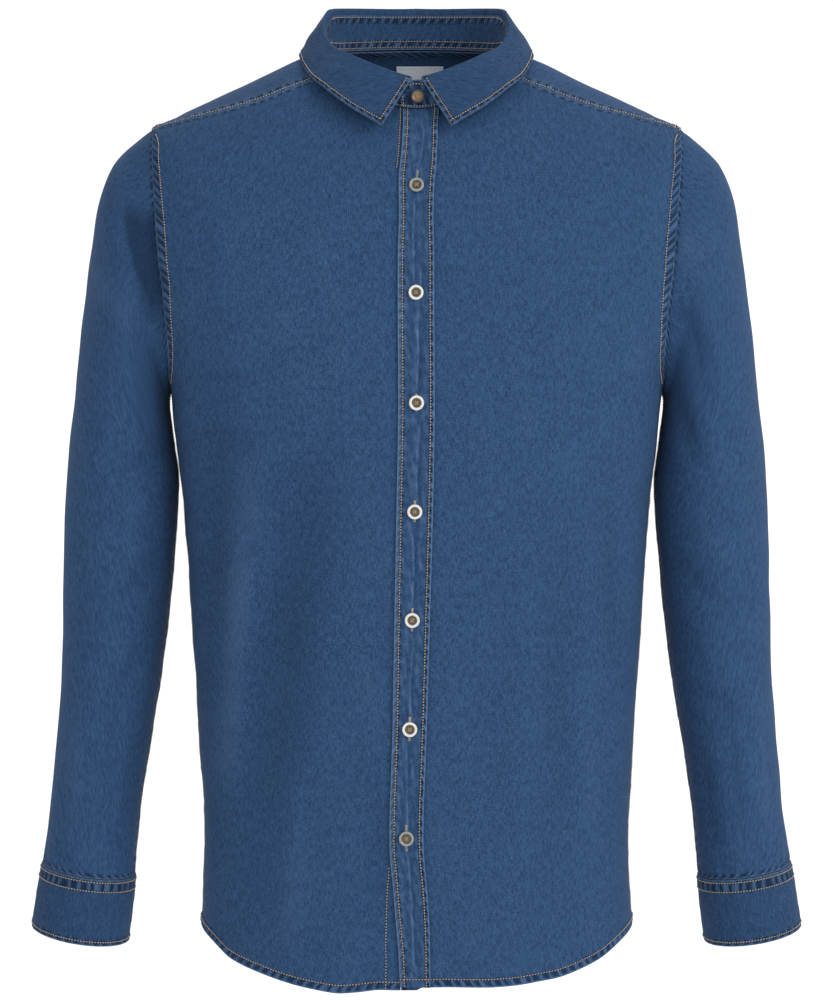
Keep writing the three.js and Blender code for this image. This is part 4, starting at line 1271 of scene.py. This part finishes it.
class SHIRT_OT_front_edges(ShirtPiece, bpy.types.Operator):
    """Makes the button band and the placket that laps over it"""

    bl_idname = "shirt.front_edges"
    bl_label = "Front edges"

    def make(self, context):
        grid, normal, tone = front_strip(BAND_WIDTH / 2 - 0.15, 8, -1.5, 1.5, NECK_KEY - 0.2, 121)
        grid[..., 2] += hem_lift(grid)
        cloth = Cloth()
        cloth.wall(grid, normal, 1.5, {"l": 5, "r": 5})
        finish_cloth(cloth.build("band_cloth", placket_material()), ["button_band"], *CUTS["button_band"])
        grid, normal, tone = front_strip(PLACKET_WIDTH / 2, 40, 0.6, 1.6, NECK_KEY - 1, 131, 0.07)
        grid[..., 2] += PLACKET_SHIFT * smooth(-640, -745, grid[..., 2])
        cloth = Cloth()
        cloth.wall(grid, normal, 1.6, {"l": 5.5, "r": 4.5}, tone)
        finish_cloth(cloth.build("placket_cloth", placket_material()), ["placket"], *CUTS["placket"])
        rows = Stitches()
        rows.row(*seam_line(grid, normal, "l", 3.7))
        rows.row(*seam_line(grid, normal, "r", 3.4))
        rows.row(*seam_line(grid, normal, "b", 6.4))
        rows.build("placket_stitches", thread())


class SHIRT_OT_collar(ShirtPiece, bpy.types.Operator):
    """Makes the collar: the stand round the neck and the fall that turns over it"""

    bl_idname = "shirt.collar"
    bl_label = "Collar"

    def make(self, context):
        self.make_stand()
        self.make_fall()

    def make_stand(self):
        lap = math.asin(STAND_OVERLAP / FOLD_HALF_WIDTH)
        t = np.concatenate([[0, 0.0015, 0.004], np.linspace(0.007, 0.993, 230), [0.996, 0.9985, 1]])[None, :]
        height = np.concatenate([[0, 0.03], np.linspace(0.08, 0.92, 12), [0.97, 1]])[:, None]
        angle = lerp(-math.pi / 2 - lap, 1.5 * math.pi + lap, t) + 0 * height
        height = height + 0 * t
        low, high = neck_loop(angle), fold_loop(angle)
        along = fold_loop(angle + 0.02) - fold_loop(angle - 0.02)
        normal = unit(np.cross(along, high - low))
        length = 2 * math.pi * 70
        from_end = np.minimum(t, 1 - t) * length
        corner = 9.0
        drop = corner - np.sqrt(np.maximum(corner ** 2 - np.maximum(corner - from_end, 0) ** 2, 0))
        tall = np.linalg.norm(high - low, axis=-1)
        share = height * np.maximum(1 - 0.8 * drop / tall, 0.1)
        point = lerp(low, high, share[..., None])
        point[..., 2] -= share * stand_drop(angle)
        meeting = np.exp(-((point[..., 0] / 5) ** 2)) * (point[..., 1] < 0)
        point[..., 2] += 3.0 * smooth(0.4, 1, share) * meeting
        over = 2.4 * (1 - smooth(0.03, 0.2, t))
        runs = border_runs(point)
        crease = unevenness(runs["b"][1], height * 30, 11, 141) * 0.25
        crease = crease * smooth(0, 0.2, height) * smooth(1, 0.8, height)
        lift = over + crease + puckers(runs, "tb", 7, 6, 151) * 0.7
        grid = point + normal * lift[..., None]
        cloth = Cloth()
        cloth.wall(grid[::-1], normal[::-1], 1.8, {"t": 7, "b": 9, "l": 5, "r": 5})
        finish_cloth(cloth.build("stand_cloth", edge_material()), ["collar_stand"], *CUTS["collar_stand"])
        rows = Stitches()
        rows.row(*seam_line(grid, normal, "t", 1.6))
        rows.row(*seam_line(grid, normal, "l", 1.8))
        rows.row(*seam_line(grid, normal, "b", 3.5, span=(0, 0.12)))
        inside = grid - normal * 1.8
        rows.row(*seam_line(inside, -normal, "b", 1.8, span=(0.31, 0.69)))
        rows.row(*seam_line(inside, -normal, "t", 2.0, span=(0.1, 0.9)))
        rows.row(*seam_line(inside, -normal, "t", 7.0, span=(0.1, 0.9)))
        rows.build("stand_stitches", thread())

    def make_fall(self):
        t = np.concatenate([[0, 0.002, 0.006], np.linspace(0.01, 0.99, 230), [0.994, 0.998, 1]])[None, :]
        steps = np.concatenate([np.linspace(0, 5, 32), np.linspace(5, 7.92, 26)[1:], [7.96, 7.985, 8]])
        steps = steps[:, None]
        angle = lerp(FALL_FRONT_ANGLE, math.pi - FALL_FRONT_ANGLE, t) + 0 * steps
        section = FALL_SECTION.at(steps + 0 * t)
        outward_way = loop_out(angle)
        point = lerp(fold_loop(angle), fall_edge(angle), section["reach"][..., None])
        point = point + outward_way * section["outward"][..., None]
        point[..., 2] += section["up"] + 0.3 + 0.9 - section["under"] * stand_drop(angle)
        normal = outward(point, outward_way + np.array([0, 0, 0.6]))
        runs = border_runs(point)
        reach = section["reach"]
        soft = unevenness(runs["b"][1], reach * 60, 34, 161) * 0.5 * smooth(0.1, 0.5, reach)
        lift = 0.9 + soft + puckers(runs, "b", 7, 6, 171, 0.5) + puckers(runs, "lr", 7, 6, 181, 0.5)
        grid = point + normal * lift[..., None]
        cloth = Cloth()
        cloth.wall(grid, normal, 1.8, {"b": 5, "l": 5, "r": 5}, rims="tblr")
        finish_cloth(cloth.build("fall_cloth", edge_material()), ["collar_fall"], *CUTS["collar_fall"])
        rows = Stitches()
        rows.row(*seam_line(grid, normal, "b", 3.7, span=(0.012, 0.988)))
        for side in "lr":
            rows.row(*seam_line(grid, normal, side, 3.7, span=(0.42, 0.94)))
        rows.build("fall_stitches", thread())


class SHIRT_OT_sleeves(ShirtPiece, bpy.types.Operator):
    """Makes the sleeves and the small plackets above their cuffs"""

    bl_idname = "shirt.sleeves"
    bl_label = "Sleeves"

    def make(self, context):
        for side, folds in (("left", LEFT_SLEEVE_FOLDS), ("right", RIGHT_SLEEVE_FOLDS)):
            self.make_sleeve(side, folds)
            self.make_placket(side, folds)

    def make_sleeve(self, side, folds):
        marks = [0, 0.0016, 0.008, 0.018]
        turns = np.concatenate([marks, np.linspace(0.03, 0.97, 150), [1 - m for m in marks[::-1]]])
        upper, lower = np.linspace(0.02, 2, 30), np.linspace(2, 12.7, 150)[1:]
        steps = np.concatenate([upper, lower, np.linspace(12.7, 13, 8)[1:]])
        turn, step = np.meshgrid(math.pi + 2 * math.pi * turns, steps)
        base, normal = sleeve_point(turn, step, folds)
        at = sleeve_base(turn, step)
        # Painted light and shade of the sleeve's folds, with dark lines of painted shade along its sharpest
        # creases.
        tone = np.clip(sleeve_folds(turn, at, folds) * 0.09, -0.5, 0.4)
        reach = RAD * SLEEVE_GIRTH
        sharp = [[(a * reach, b) for a, b in line[:3]] + list(line[3:]) for line in PAINTED_CREASE_SHADE[side]]
        tone = np.clip(tone + fold_lift(np.mod(turn / RAD, 360) * reach, at[..., 2], sharp), -1, 1)
        runs = border_runs(base)
        seed = 191 if side == "left" else 211
        from_cuff = runs["b"][0]
        gathers = ripple(runs["b"][1], 13, seed + 3) * 0.5
        gathers = gathers * smooth(34, 2, from_cuff) * smooth(0, 3, from_cuff)
        lift = puckers(runs, "t", 9, 7, seed) * 0.8 + puckers(runs, "b", 7, 12, seed + 1) + gathers
        lift = lift + puckers(runs, "lr", 10, 6, seed + 2) * 0.7
        grid, normal = sleeve_point(turn, step, folds, lift)
        cloth = Cloth()
        cloth.wall(grid, normal, self.cloth, {"t": 4, "b": 4, "l": 8, "r": 8}, tone, rims="tb")
        mirror = side == "right"
        name = "sleeve_" + side
        piece = cloth.build(name + "_cloth", cloth_material(), mirror=mirror, weld=True)
        finish_cloth(piece, [name], *CUTS["sleeve"])
        rows = Stitches()
        for inset in (1.6, 7.0):
            rows.row(*seam_line(grid, normal, "l", inset), thick=0.6, groove=0.8)
        rows.build(name + "_stitches", thread(), mirror=mirror)

    def make_placket(self, side, folds):
        half = 12 / 46
        inner = np.linspace(-half + 0.05, half - 0.05, 10)
        turns = CUFF_OPENING + np.concatenate([[-half, -half + 0.02], inner, [half - 0.02, half]])
        steps = np.linspace(10.4, 12.95, 70)
        turn, step = np.meshgrid(turns, steps)
        base, normal = sleeve_point(turn, step, folds, 2.1)
        runs = border_runs(base)
        grid, normal = sleeve_point(turn, step, folds, 2.1 + puckers(runs, "tlr", 7, 4, 231))
        cloth = Cloth()
        cloth.wall(grid, normal, 1.3, {"t": 5, "l": 4, "r": 4})
        mirror = side == "right"
        name = "sleeve_placket_" + side
        piece = cloth.build(name + "_cloth", edge_material(), mirror=mirror)
        finish_cloth(piece, [name], *CUTS["sleeve_placket"])
        rows = Stitches()
        for border in "tlr":
            rows.row(*seam_line(grid, normal, border, 2.2))
        rows.build(name + "_stitches", thread(), mirror=mirror)


class SHIRT_OT_cuffs(ShirtPiece, bpy.types.Operator):
    """Makes the cuffs, which lap over themselves at the back of the wrist"""

    bl_idname = "shirt.cuffs"
    bl_label = "Cuffs"

    def make(self, context):
        lap = 22 / 41
        start = CUFF_OPENING - lap / 2
        end = start + 2 * math.pi + lap
        t = np.concatenate([[0, 0.002, 0.007], np.linspace(0.014, 0.986, 140), [0.993, 0.998, 1]])
        steps = np.concatenate([[0, 0.03, 0.09], np.linspace(0.15, 2.85, 24), [2.92, 2.97, 3]])
        share, step = np.meshgrid(t, steps)
        turn = lerp(start, end, share)
        over = 2.7 * (1 - smooth(0, 0.3, share))
        base, normal = cuff_point(turn, step)
        runs = border_runs(base)
        for side, seed in (("left", 241), ("right", 251)):
            crease = unevenness(runs["t"][1], runs["t"][0], 12, seed) * 0.22
            lift = 0.6 + over + crease + puckers(runs, "tb", 7, 6, seed) * 0.9
            lift = lift + puckers(runs, "lr", 7, 5, seed + 3) * 0.6
            grid, normal = cuff_point(turn, step, lift)
            cloth = Cloth()
            cloth.wall(grid, normal, 2.2, {"t": 10.5, "b": 5, "l": 5, "r": 5})
            mirror = side == "right"
            name = "cuff_" + side
            piece = cloth.build(name + "_cloth", edge_material(), mirror=mirror)
            finish_cloth(piece, [name], *CUTS["cuff"])
            rows = Stitches()
            rows.row(*seam_line(grid, normal, "t", 2.5))
            rows.row(*seam_line(grid, normal, "t", 10.0))
            for border in "blr":
                rows.row(*seam_line(grid, normal, border, 3.3))
            rows.build(name + "_stitches", thread(), mirror=mirror)


class SHIRT_OT_buttons(ShirtPiece, bpy.types.Operator):
    """Makes the buttons with their threads, and the buttonholes of the placket"""

    bl_idname = "shirt.buttons"
    bl_label = "Buttons"

    def make(self, context):
        holes = Stitches()
        for i in range(FRONT_BUTTONS):
            key = key_at_height("front", FIRST_BUTTON - i * BUTTON_PITCH)
            angle = front_angle(0.0, np.array([key]))
            place_at, normal = body_point(angle, np.array([key]), 0.6 + 1.6 + 0.4)
            name = f"front_button_{i + 1}"
            look = grey_horn() if i in (0, FRONT_BUTTONS - 1) else pale_horn()
            self.make_button(name, BUTTON_RADIUS - 0.2, place_at[0], normal[0], look, "button")
            self.make_buttonhole(holes, key)
        holes.build("buttonhole_stitches", thread())
        angle = np.array([-math.pi / 2 + 0.01])
        low, high = neck_loop(angle), fold_loop(angle)
        normal = unit(np.cross(fold_loop(angle + 0.02) - fold_loop(angle - 0.02), high - low))
        place_at = lerp(low, high, 0.46)
        place_at[..., 2] -= 0.46 * STAND_FRONT_DROP
        place_at = place_at + normal * (2.4 + 0.4)
        small = SMALL_BUTTON_RADIUS
        self.make_button("stand_button", small, place_at[0], normal[0], dark_horn(), "dark_button")
        for side, name in ((1, "cuff_button_left"), (-1, "cuff_button_right")):
            turn, step = np.array([CUFF_OPENING]), np.array([1.5])
            place_at, normal = cuff_point(turn, step, 0.6 + 2.2 + 0.5 + 0.4)
            way = np.array([side, 1, 1])
            self.make_button(name, small, place_at[0] * way, normal[0] * way, pale_horn(), "button")

    def make_buttonhole(self, holes, key):
        for end, count in ((9.6, 12), (-8.4, 10)):
            reach = np.linspace(end, end - math.copysign(5.0, end), count)
            for height in reach:
                row_key = np.full(2, key + height)
                angle = np.array([front_angle(offset, row_key)[0] for offset in (-1.15, 1.15)])
                line, normal = body_point(angle, row_key, 0.6 + 1.6 + 0.05)
                holes.row(line, normal, length=2.2, gap=0.05, thick=0.5, groove=0)

    def make_button(self, name, radius, centre, direction, look, slot):
        profile = [(0, 0), (0.8, 0), (0.93, 0.1), (1.0, 0.45), (0.99, 0.72), (0.92, 0.95), (0.84, 1.0)]
        profile += [(0.76, 0.96), (0.68, 0.8), (0.6, 0.66), (0.45, 0.6), (0.2, 0.58), (0, 0.58)]
        tall = 2.6
        segments = 40
        turns = 2 * math.pi * np.arange(segments) / segments
        circle = [(math.cos(a), math.sin(a)) for a in turns]
        points = [[r * radius * x, r * radius * y, h * tall] for r, h in profile for x, y in circle]
        ring = [r for r, h in profile for _ in turns]
        faces = []
        for i in range(len(profile) - 1):
            for j in range(segments):
                k = (j + 1) % segments
                low, high = i * segments, (i + 1) * segments
                faces.append([low + j, low + k, high + k, high + j])
        slots = [0] * len(faces)
        hole = 0.24 * radius
        # Four dark discs of painted shadow fill the thread holes.
        for x, y in ((1, 1), (-1, 1), (-1, -1), (1, -1)):
            first = len(points)
            points += [[x * hole + 0.85 * c, y * hole + 0.85 * d, 0.6 * tall] for c, d in circle[::4]]
            ring += [0] * len(turns[::4])
            faces.append(list(range(first, len(points))))
            slots.append(1)
        for x, y in ((1, 1), (-1, 1)):
            way = Vector((x, y, 0)).normalized()
            side = Vector((-way.y, way.x, 0))
            for shift in (-0.32, 0.32):
                first = len(points)
                bow = [(-1, -0.1), (-0.5, 0.45), (0.5, 0.45), (1, -0.1)]
                for along, up in bow:
                    for a, b in ((-0.3, 0), (0, 0.32), (0.3, 0)):
                        spot = way * (along * hole * 1.55) + side * (shift + a)
                        points.append([spot.x, spot.y, 0.6 * tall + up + b])
                        ring.append(0)
                for i in range(3):
                    for j in range(2):
                        corner = first + 3 * i + j
                        faces.append([corner, corner + 3, corner + 4, corner + 1])
                        slots.append(2)
        turned = Vector(direction).to_track_quat("Z", "Y").to_matrix()
        mesh = bpy.data.meshes.new(name + "_look")
        mesh.from_pydata([tuple((Vector(centre) + turned @ Vector(p)) * MM) for p in points], [], faces)
        mesh.attributes.new("ring", "FLOAT", "POINT").data.foreach_set("value", ring)
        mesh.polygons.foreach_set("use_smooth", [True] * len(faces))
        for each in (look, hole_shadow_material(), material("button_thread", thread_material, (0.26, 0.17, 0.08))):
            mesh.materials.append(each)
        mesh.polygons.foreach_set("material_index", slots)
        piece = place(name + "_look", mesh)
        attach(piece, "root")
        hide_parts(name)


class SHIRT_OT_label(ShirtPiece, bpy.types.Operator):
    """Makes the blank label inside the yoke"""

    bl_idname = "shirt.label"
    bl_label = "Neck label"

    def make(self, context):
        heights = np.linspace(6.5, -18, 14)
        across = np.linspace(-24.0, 17.8, 20)
        keys = key_at_height("back", heights)
        angle = np.stack([math.pi / 2 + angle_at_x(np.full(len(keys), x), keys) for x in across], axis=1)
        key = np.broadcast_to(keys[:, None], angle.shape)
        face, normal = body_point(angle, key, -1.5 - 0.8)
        cloth = Cloth()
        cloth.wall(face, normal, 0.8)
        piece = cloth.build("label_cloth_piece", label_material())
        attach(piece, "root")
        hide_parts("neck_label")
        rows = Stitches()
        inside = face[::-1] - normal[::-1] * 0.8
        for side in "tblr":
            rows.row(*seam_line(inside, -normal[::-1], side, 1.2), length=1.6, gap=0.7, thick=0.3, groove=0)
        rows.build("label_stitches", material("pale_thread", thread_material, (0.5, 0.52, 0.56)))


class SHIRT_OT_stage(bpy.types.Operator):
    """Sets the pale floor, the soft lights and the camera"""

    bl_idname = "shirt.stage"
    bl_label = "Stage"
    bl_options = {"REGISTER", "UNDO"}

    def execute(self, context):
        self.make_floor(context)
        self.make_lights(context)
        self.make_camera(context)
        return {"FINISHED"}

    def make_floor(self, context):
        ground = -1.05
        profile = [(-6.0, ground), (1.4, ground)]
        for i in range(1, 13):
            turn = math.pi / 2 * i / 12
            profile.append((1.4 + 1.4 * math.sin(turn), ground + 1.4 * (1 - math.cos(turn))))
        profile.append((2.8, 6.0))
        points = [(x, y, z) for y, z in profile for x in (-8, 8)]
        faces = [(2 * i, 2 * i + 1, 2 * i + 3, 2 * i + 2) for i in range(len(profile) - 1)]
        mesh = bpy.data.meshes.new("floor")
        mesh.from_pydata(points, [], faces)
        mesh.polygons.foreach_set("use_smooth", [True] * len(faces))
        n = Nodes("pale_floor")
        n.shader.inputs["Base Color"].default_value = (0.96, 0.96, 0.96, 1)
        n.shader.inputs["Roughness"].default_value = 0.9
        n.shader.inputs["Specular IOR Level"].default_value = 0.1
        mesh.materials.append(n.material)
        place("floor", mesh)

    def make_lights(self, context):
        lights = [
            ("key_light", (2.5, -2.2, 1.3), 2.0, 64),
            ("fill_light", (-2.2, -2.4, 0.6), 2.4, 5),
            ("back_light", (0.0, 2.2, 2.6), 2.4, 56),
            ("low_light", (0.3, -2.2, -0.5), 1.6, 8),
        ]
        for name, spot, size, power in lights:
            data = bpy.data.lights.new(name, "AREA")
            data.energy = power
            data.size = size
            lamp = place(name, data)
            lamp.location = spot
            aim = Vector((0, 0, -0.35)) - lamp.location
            lamp.rotation_euler = aim.to_track_quat("-Z", "Y").to_euler()
        world = bpy.data.worlds.new("studio")
        world.use_nodes = True
        background = world.node_tree.nodes["Background"]
        background.inputs[0].default_value = (1, 1, 1, 1)
        background.inputs[1].default_value = 0.72
        context.scene.world = world

    def make_camera(self, context):
        data = bpy.data.cameras.new("camera")
        data.sensor_fit = "VERTICAL"
        data.sensor_height = 36
        data.lens = 112.77
        camera = place("camera", data)
        camera.location = (0, -2.6, -0.3635)
        camera.rotation_euler = (math.pi / 2, 0, 0)
        context.scene.camera = camera
        context.scene.view_settings.view_transform = "Standard"
        context.scene.view_settings.look = "None"


class ShirtSizes(bpy.types.PropertyGroup):
    """Sizes of the cloth and its sewing"""

    cloth_thickness: FloatProperty(name="Cloth", description="Thickness of one layer",
        default=0.0012, unit="LENGTH")
    fold_strength: FloatProperty(name="Folds", description="Strength of the folds",
        default=1.0, subtype="FACTOR")
    pucker_depth: FloatProperty(name="Puckers", description="Depth of puckers at seams",
        default=0.0007, unit="LENGTH")
    seam_rise: FloatProperty(name="Seam rise", description="Height of a folded seam",
        default=0.0008, unit="LENGTH")
    stitch_length: FloatProperty(name="Stitch", description="Length of a stitch",
        default=0.0016, unit="LENGTH")
    stitch_gap: FloatProperty(name="Stitch gap", description="Gap between stitches",
        default=0.0008, unit="LENGTH")
    thread_thickness: FloatProperty(name="Thread", description="Thickness of the thread",
        default=0.0009, unit="LENGTH")


class ShirtColours(bpy.types.PropertyGroup):
    """Colours of the cloth and its thread"""

    denim_dark: FloatVectorProperty(name="Indigo", description="Dyed yarns",
        default=(0.0112, 0.031, 0.078), subtype="COLOR")
    denim_pale: FloatVectorProperty(name="Faded", description="Washed yarns",
        default=(0.034, 0.084, 0.184), subtype="COLOR")
    # Pale colour of wear, also used as painted highlight on fold ridges.
    denim_wear_and_highlight: FloatVectorProperty(name="Worn", description="Worn edges",
        default=(0.11, 0.18, 0.3), subtype="COLOR")
    thread: FloatVectorProperty(name="Thread", description="Stitching",
        default=(0.43, 0.36, 0.305), subtype="COLOR")


class SHIRT_PT_panel(bpy.types.Panel):
    """Sizes, colours and pieces of the shirt"""

    bl_idname = "SHIRT_PT_panel"
    bl_label = "Denim shirt"
    bl_space_type = "VIEW_3D"
    bl_region_type = "UI"
    bl_category = "Shirt"

    def draw(self, context):
        for group in (context.scene.shirt_sizes, context.scene.shirt_colours):
            for name in group.bl_rna.properties.keys():
                if name not in ("rna_type", "name"):
                    self.layout.prop(group, name)
        for piece in PIECES:
            self.layout.operator(piece.bl_idname)


# Flat cut of each cloth piece: width and length in metres, area in square metres.
CUTS = {
    "front": ((0.30, 0.80), 0.163),
    "back": ((0.60, 0.70), 0.278),
    "yoke": ((0.60, 0.30), 0.099),
    "button_band": ((0.024, 0.72), 0.0172),
    "placket": ((0.030, 0.72), 0.021),
    "collar_stand": ((0.47, 0.036), 0.0118),
    "collar_fall": ((0.52, 0.08), 0.025),
    "sleeve": ((0.45, 0.65), 0.163),
    "sleeve_placket": ((0.026, 0.13), 0.003),
    "cuff": ((0.26, 0.06), 0.0153),
}

# Section of the fall, from the top edge of the stand over the fold to the outer edge.
FALL_SECTION = SectionTable(
    ["step", "reach", "outward", "up", "under"],
    [
        [0, 0, -0.6, -0.9, 1],
        [1, 0, -0.5, -1.6, 0],
        [2, 0, 0.2, 0.6, 0],
        [3, 0, 1.5, 1.4, 0],
        [4, 0.03, 2.4, 0.5, 0],
        [5, 0.12, 2.7, 0, 0],
        [6, 0.35, 2.8, 0, 0],
        [7, 0.7, 1.4, 0, 0],
        [8, 1, 0, 0, 0],
    ],
)


def pale_horn():
    return material("pale_horn", horn, (0.74, 0.73, 0.68), (0.036, 0.023, 0.010), 0.6, 0.7)


def grey_horn():
    return material("grey_horn", horn, (0.27, 0.285, 0.27), (0.036, 0.021, 0.009), 0.6, 0.74)


def dark_horn():
    return material("dark_horn", horn, (0.035, 0.028, 0.024), (0.12, 0.07, 0.028), 0.6, 0.8)


def plain(name, colour, roughness):
    n = Nodes(name)
    place_in = n.add("ShaderNodeTexCoord").outputs["Object"]
    cloud = n.noise(place_in, 500, 2)
    paler = tuple(min(1.25 * c, 1) for c in colour) + (1.0,)
    n.feed(n.shader.inputs["Base Color"], n.mix(cloud, tuple(colour) + (1.0,), paler))
    n.shader.inputs["Roughness"].default_value = roughness
    return n.material


# Near-black for the painted shadow inside a button's holes.
def hole_shadow_material():
    return material("button_hole", plain, (0.02, 0.016, 0.012), 0.8)


def woven_label(name):
    """Plain satin-woven cloth."""
    n = Nodes(name)
    weave = n.add("ShaderNodeUVMap", uv_map="weave").outputs[0]
    yarn = n.noise(n.scaled(weave, 0.15, 1.0), 2200, 2)
    n.feed(n.shader.inputs["Base Color"], n.mix(yarn, (0.68, 0.75, 0.87, 1), (0.84, 0.88, 0.95, 1)))
    n.feed(n.shader.inputs["Normal"], n.bump(yarn, 0.0002, 0.4))
    n.shader.inputs["Roughness"].default_value = 0.6
    return n.material


def label_material():
    return material("label_satin", woven_label)


PIECES = (
    SHIRT_OT_front_panels,
    SHIRT_OT_front_edges,
    SHIRT_OT_back,
    SHIRT_OT_yoke,
    SHIRT_OT_sleeves,
    SHIRT_OT_cuffs,
    SHIRT_OT_collar,
    SHIRT_OT_buttons,
    SHIRT_OT_label,
    SHIRT_OT_stage,
)
CLASSES = (ShirtSizes, ShirtColours, *PIECES, SHIRT_PT_panel)


def register():
    for each in CLASSES:
        bpy.utils.register_class(each)
    bpy.types.Scene.shirt_sizes = PointerProperty(type=ShirtSizes)
    bpy.types.Scene.shirt_colours = PointerProperty(type=ShirtColours)


def unregister():
    del bpy.types.Scene.shirt_sizes
    del bpy.types.Scene.shirt_colours
    for each in reversed(CLASSES):
        bpy.utils.unregister_class(each)


def main():
    register()
    for piece in PIECES:
        group, name = piece.bl_idname.split(".")
        getattr(getattr(bpy.ops, group), name)()


if __name__ == "__main__":
    main()
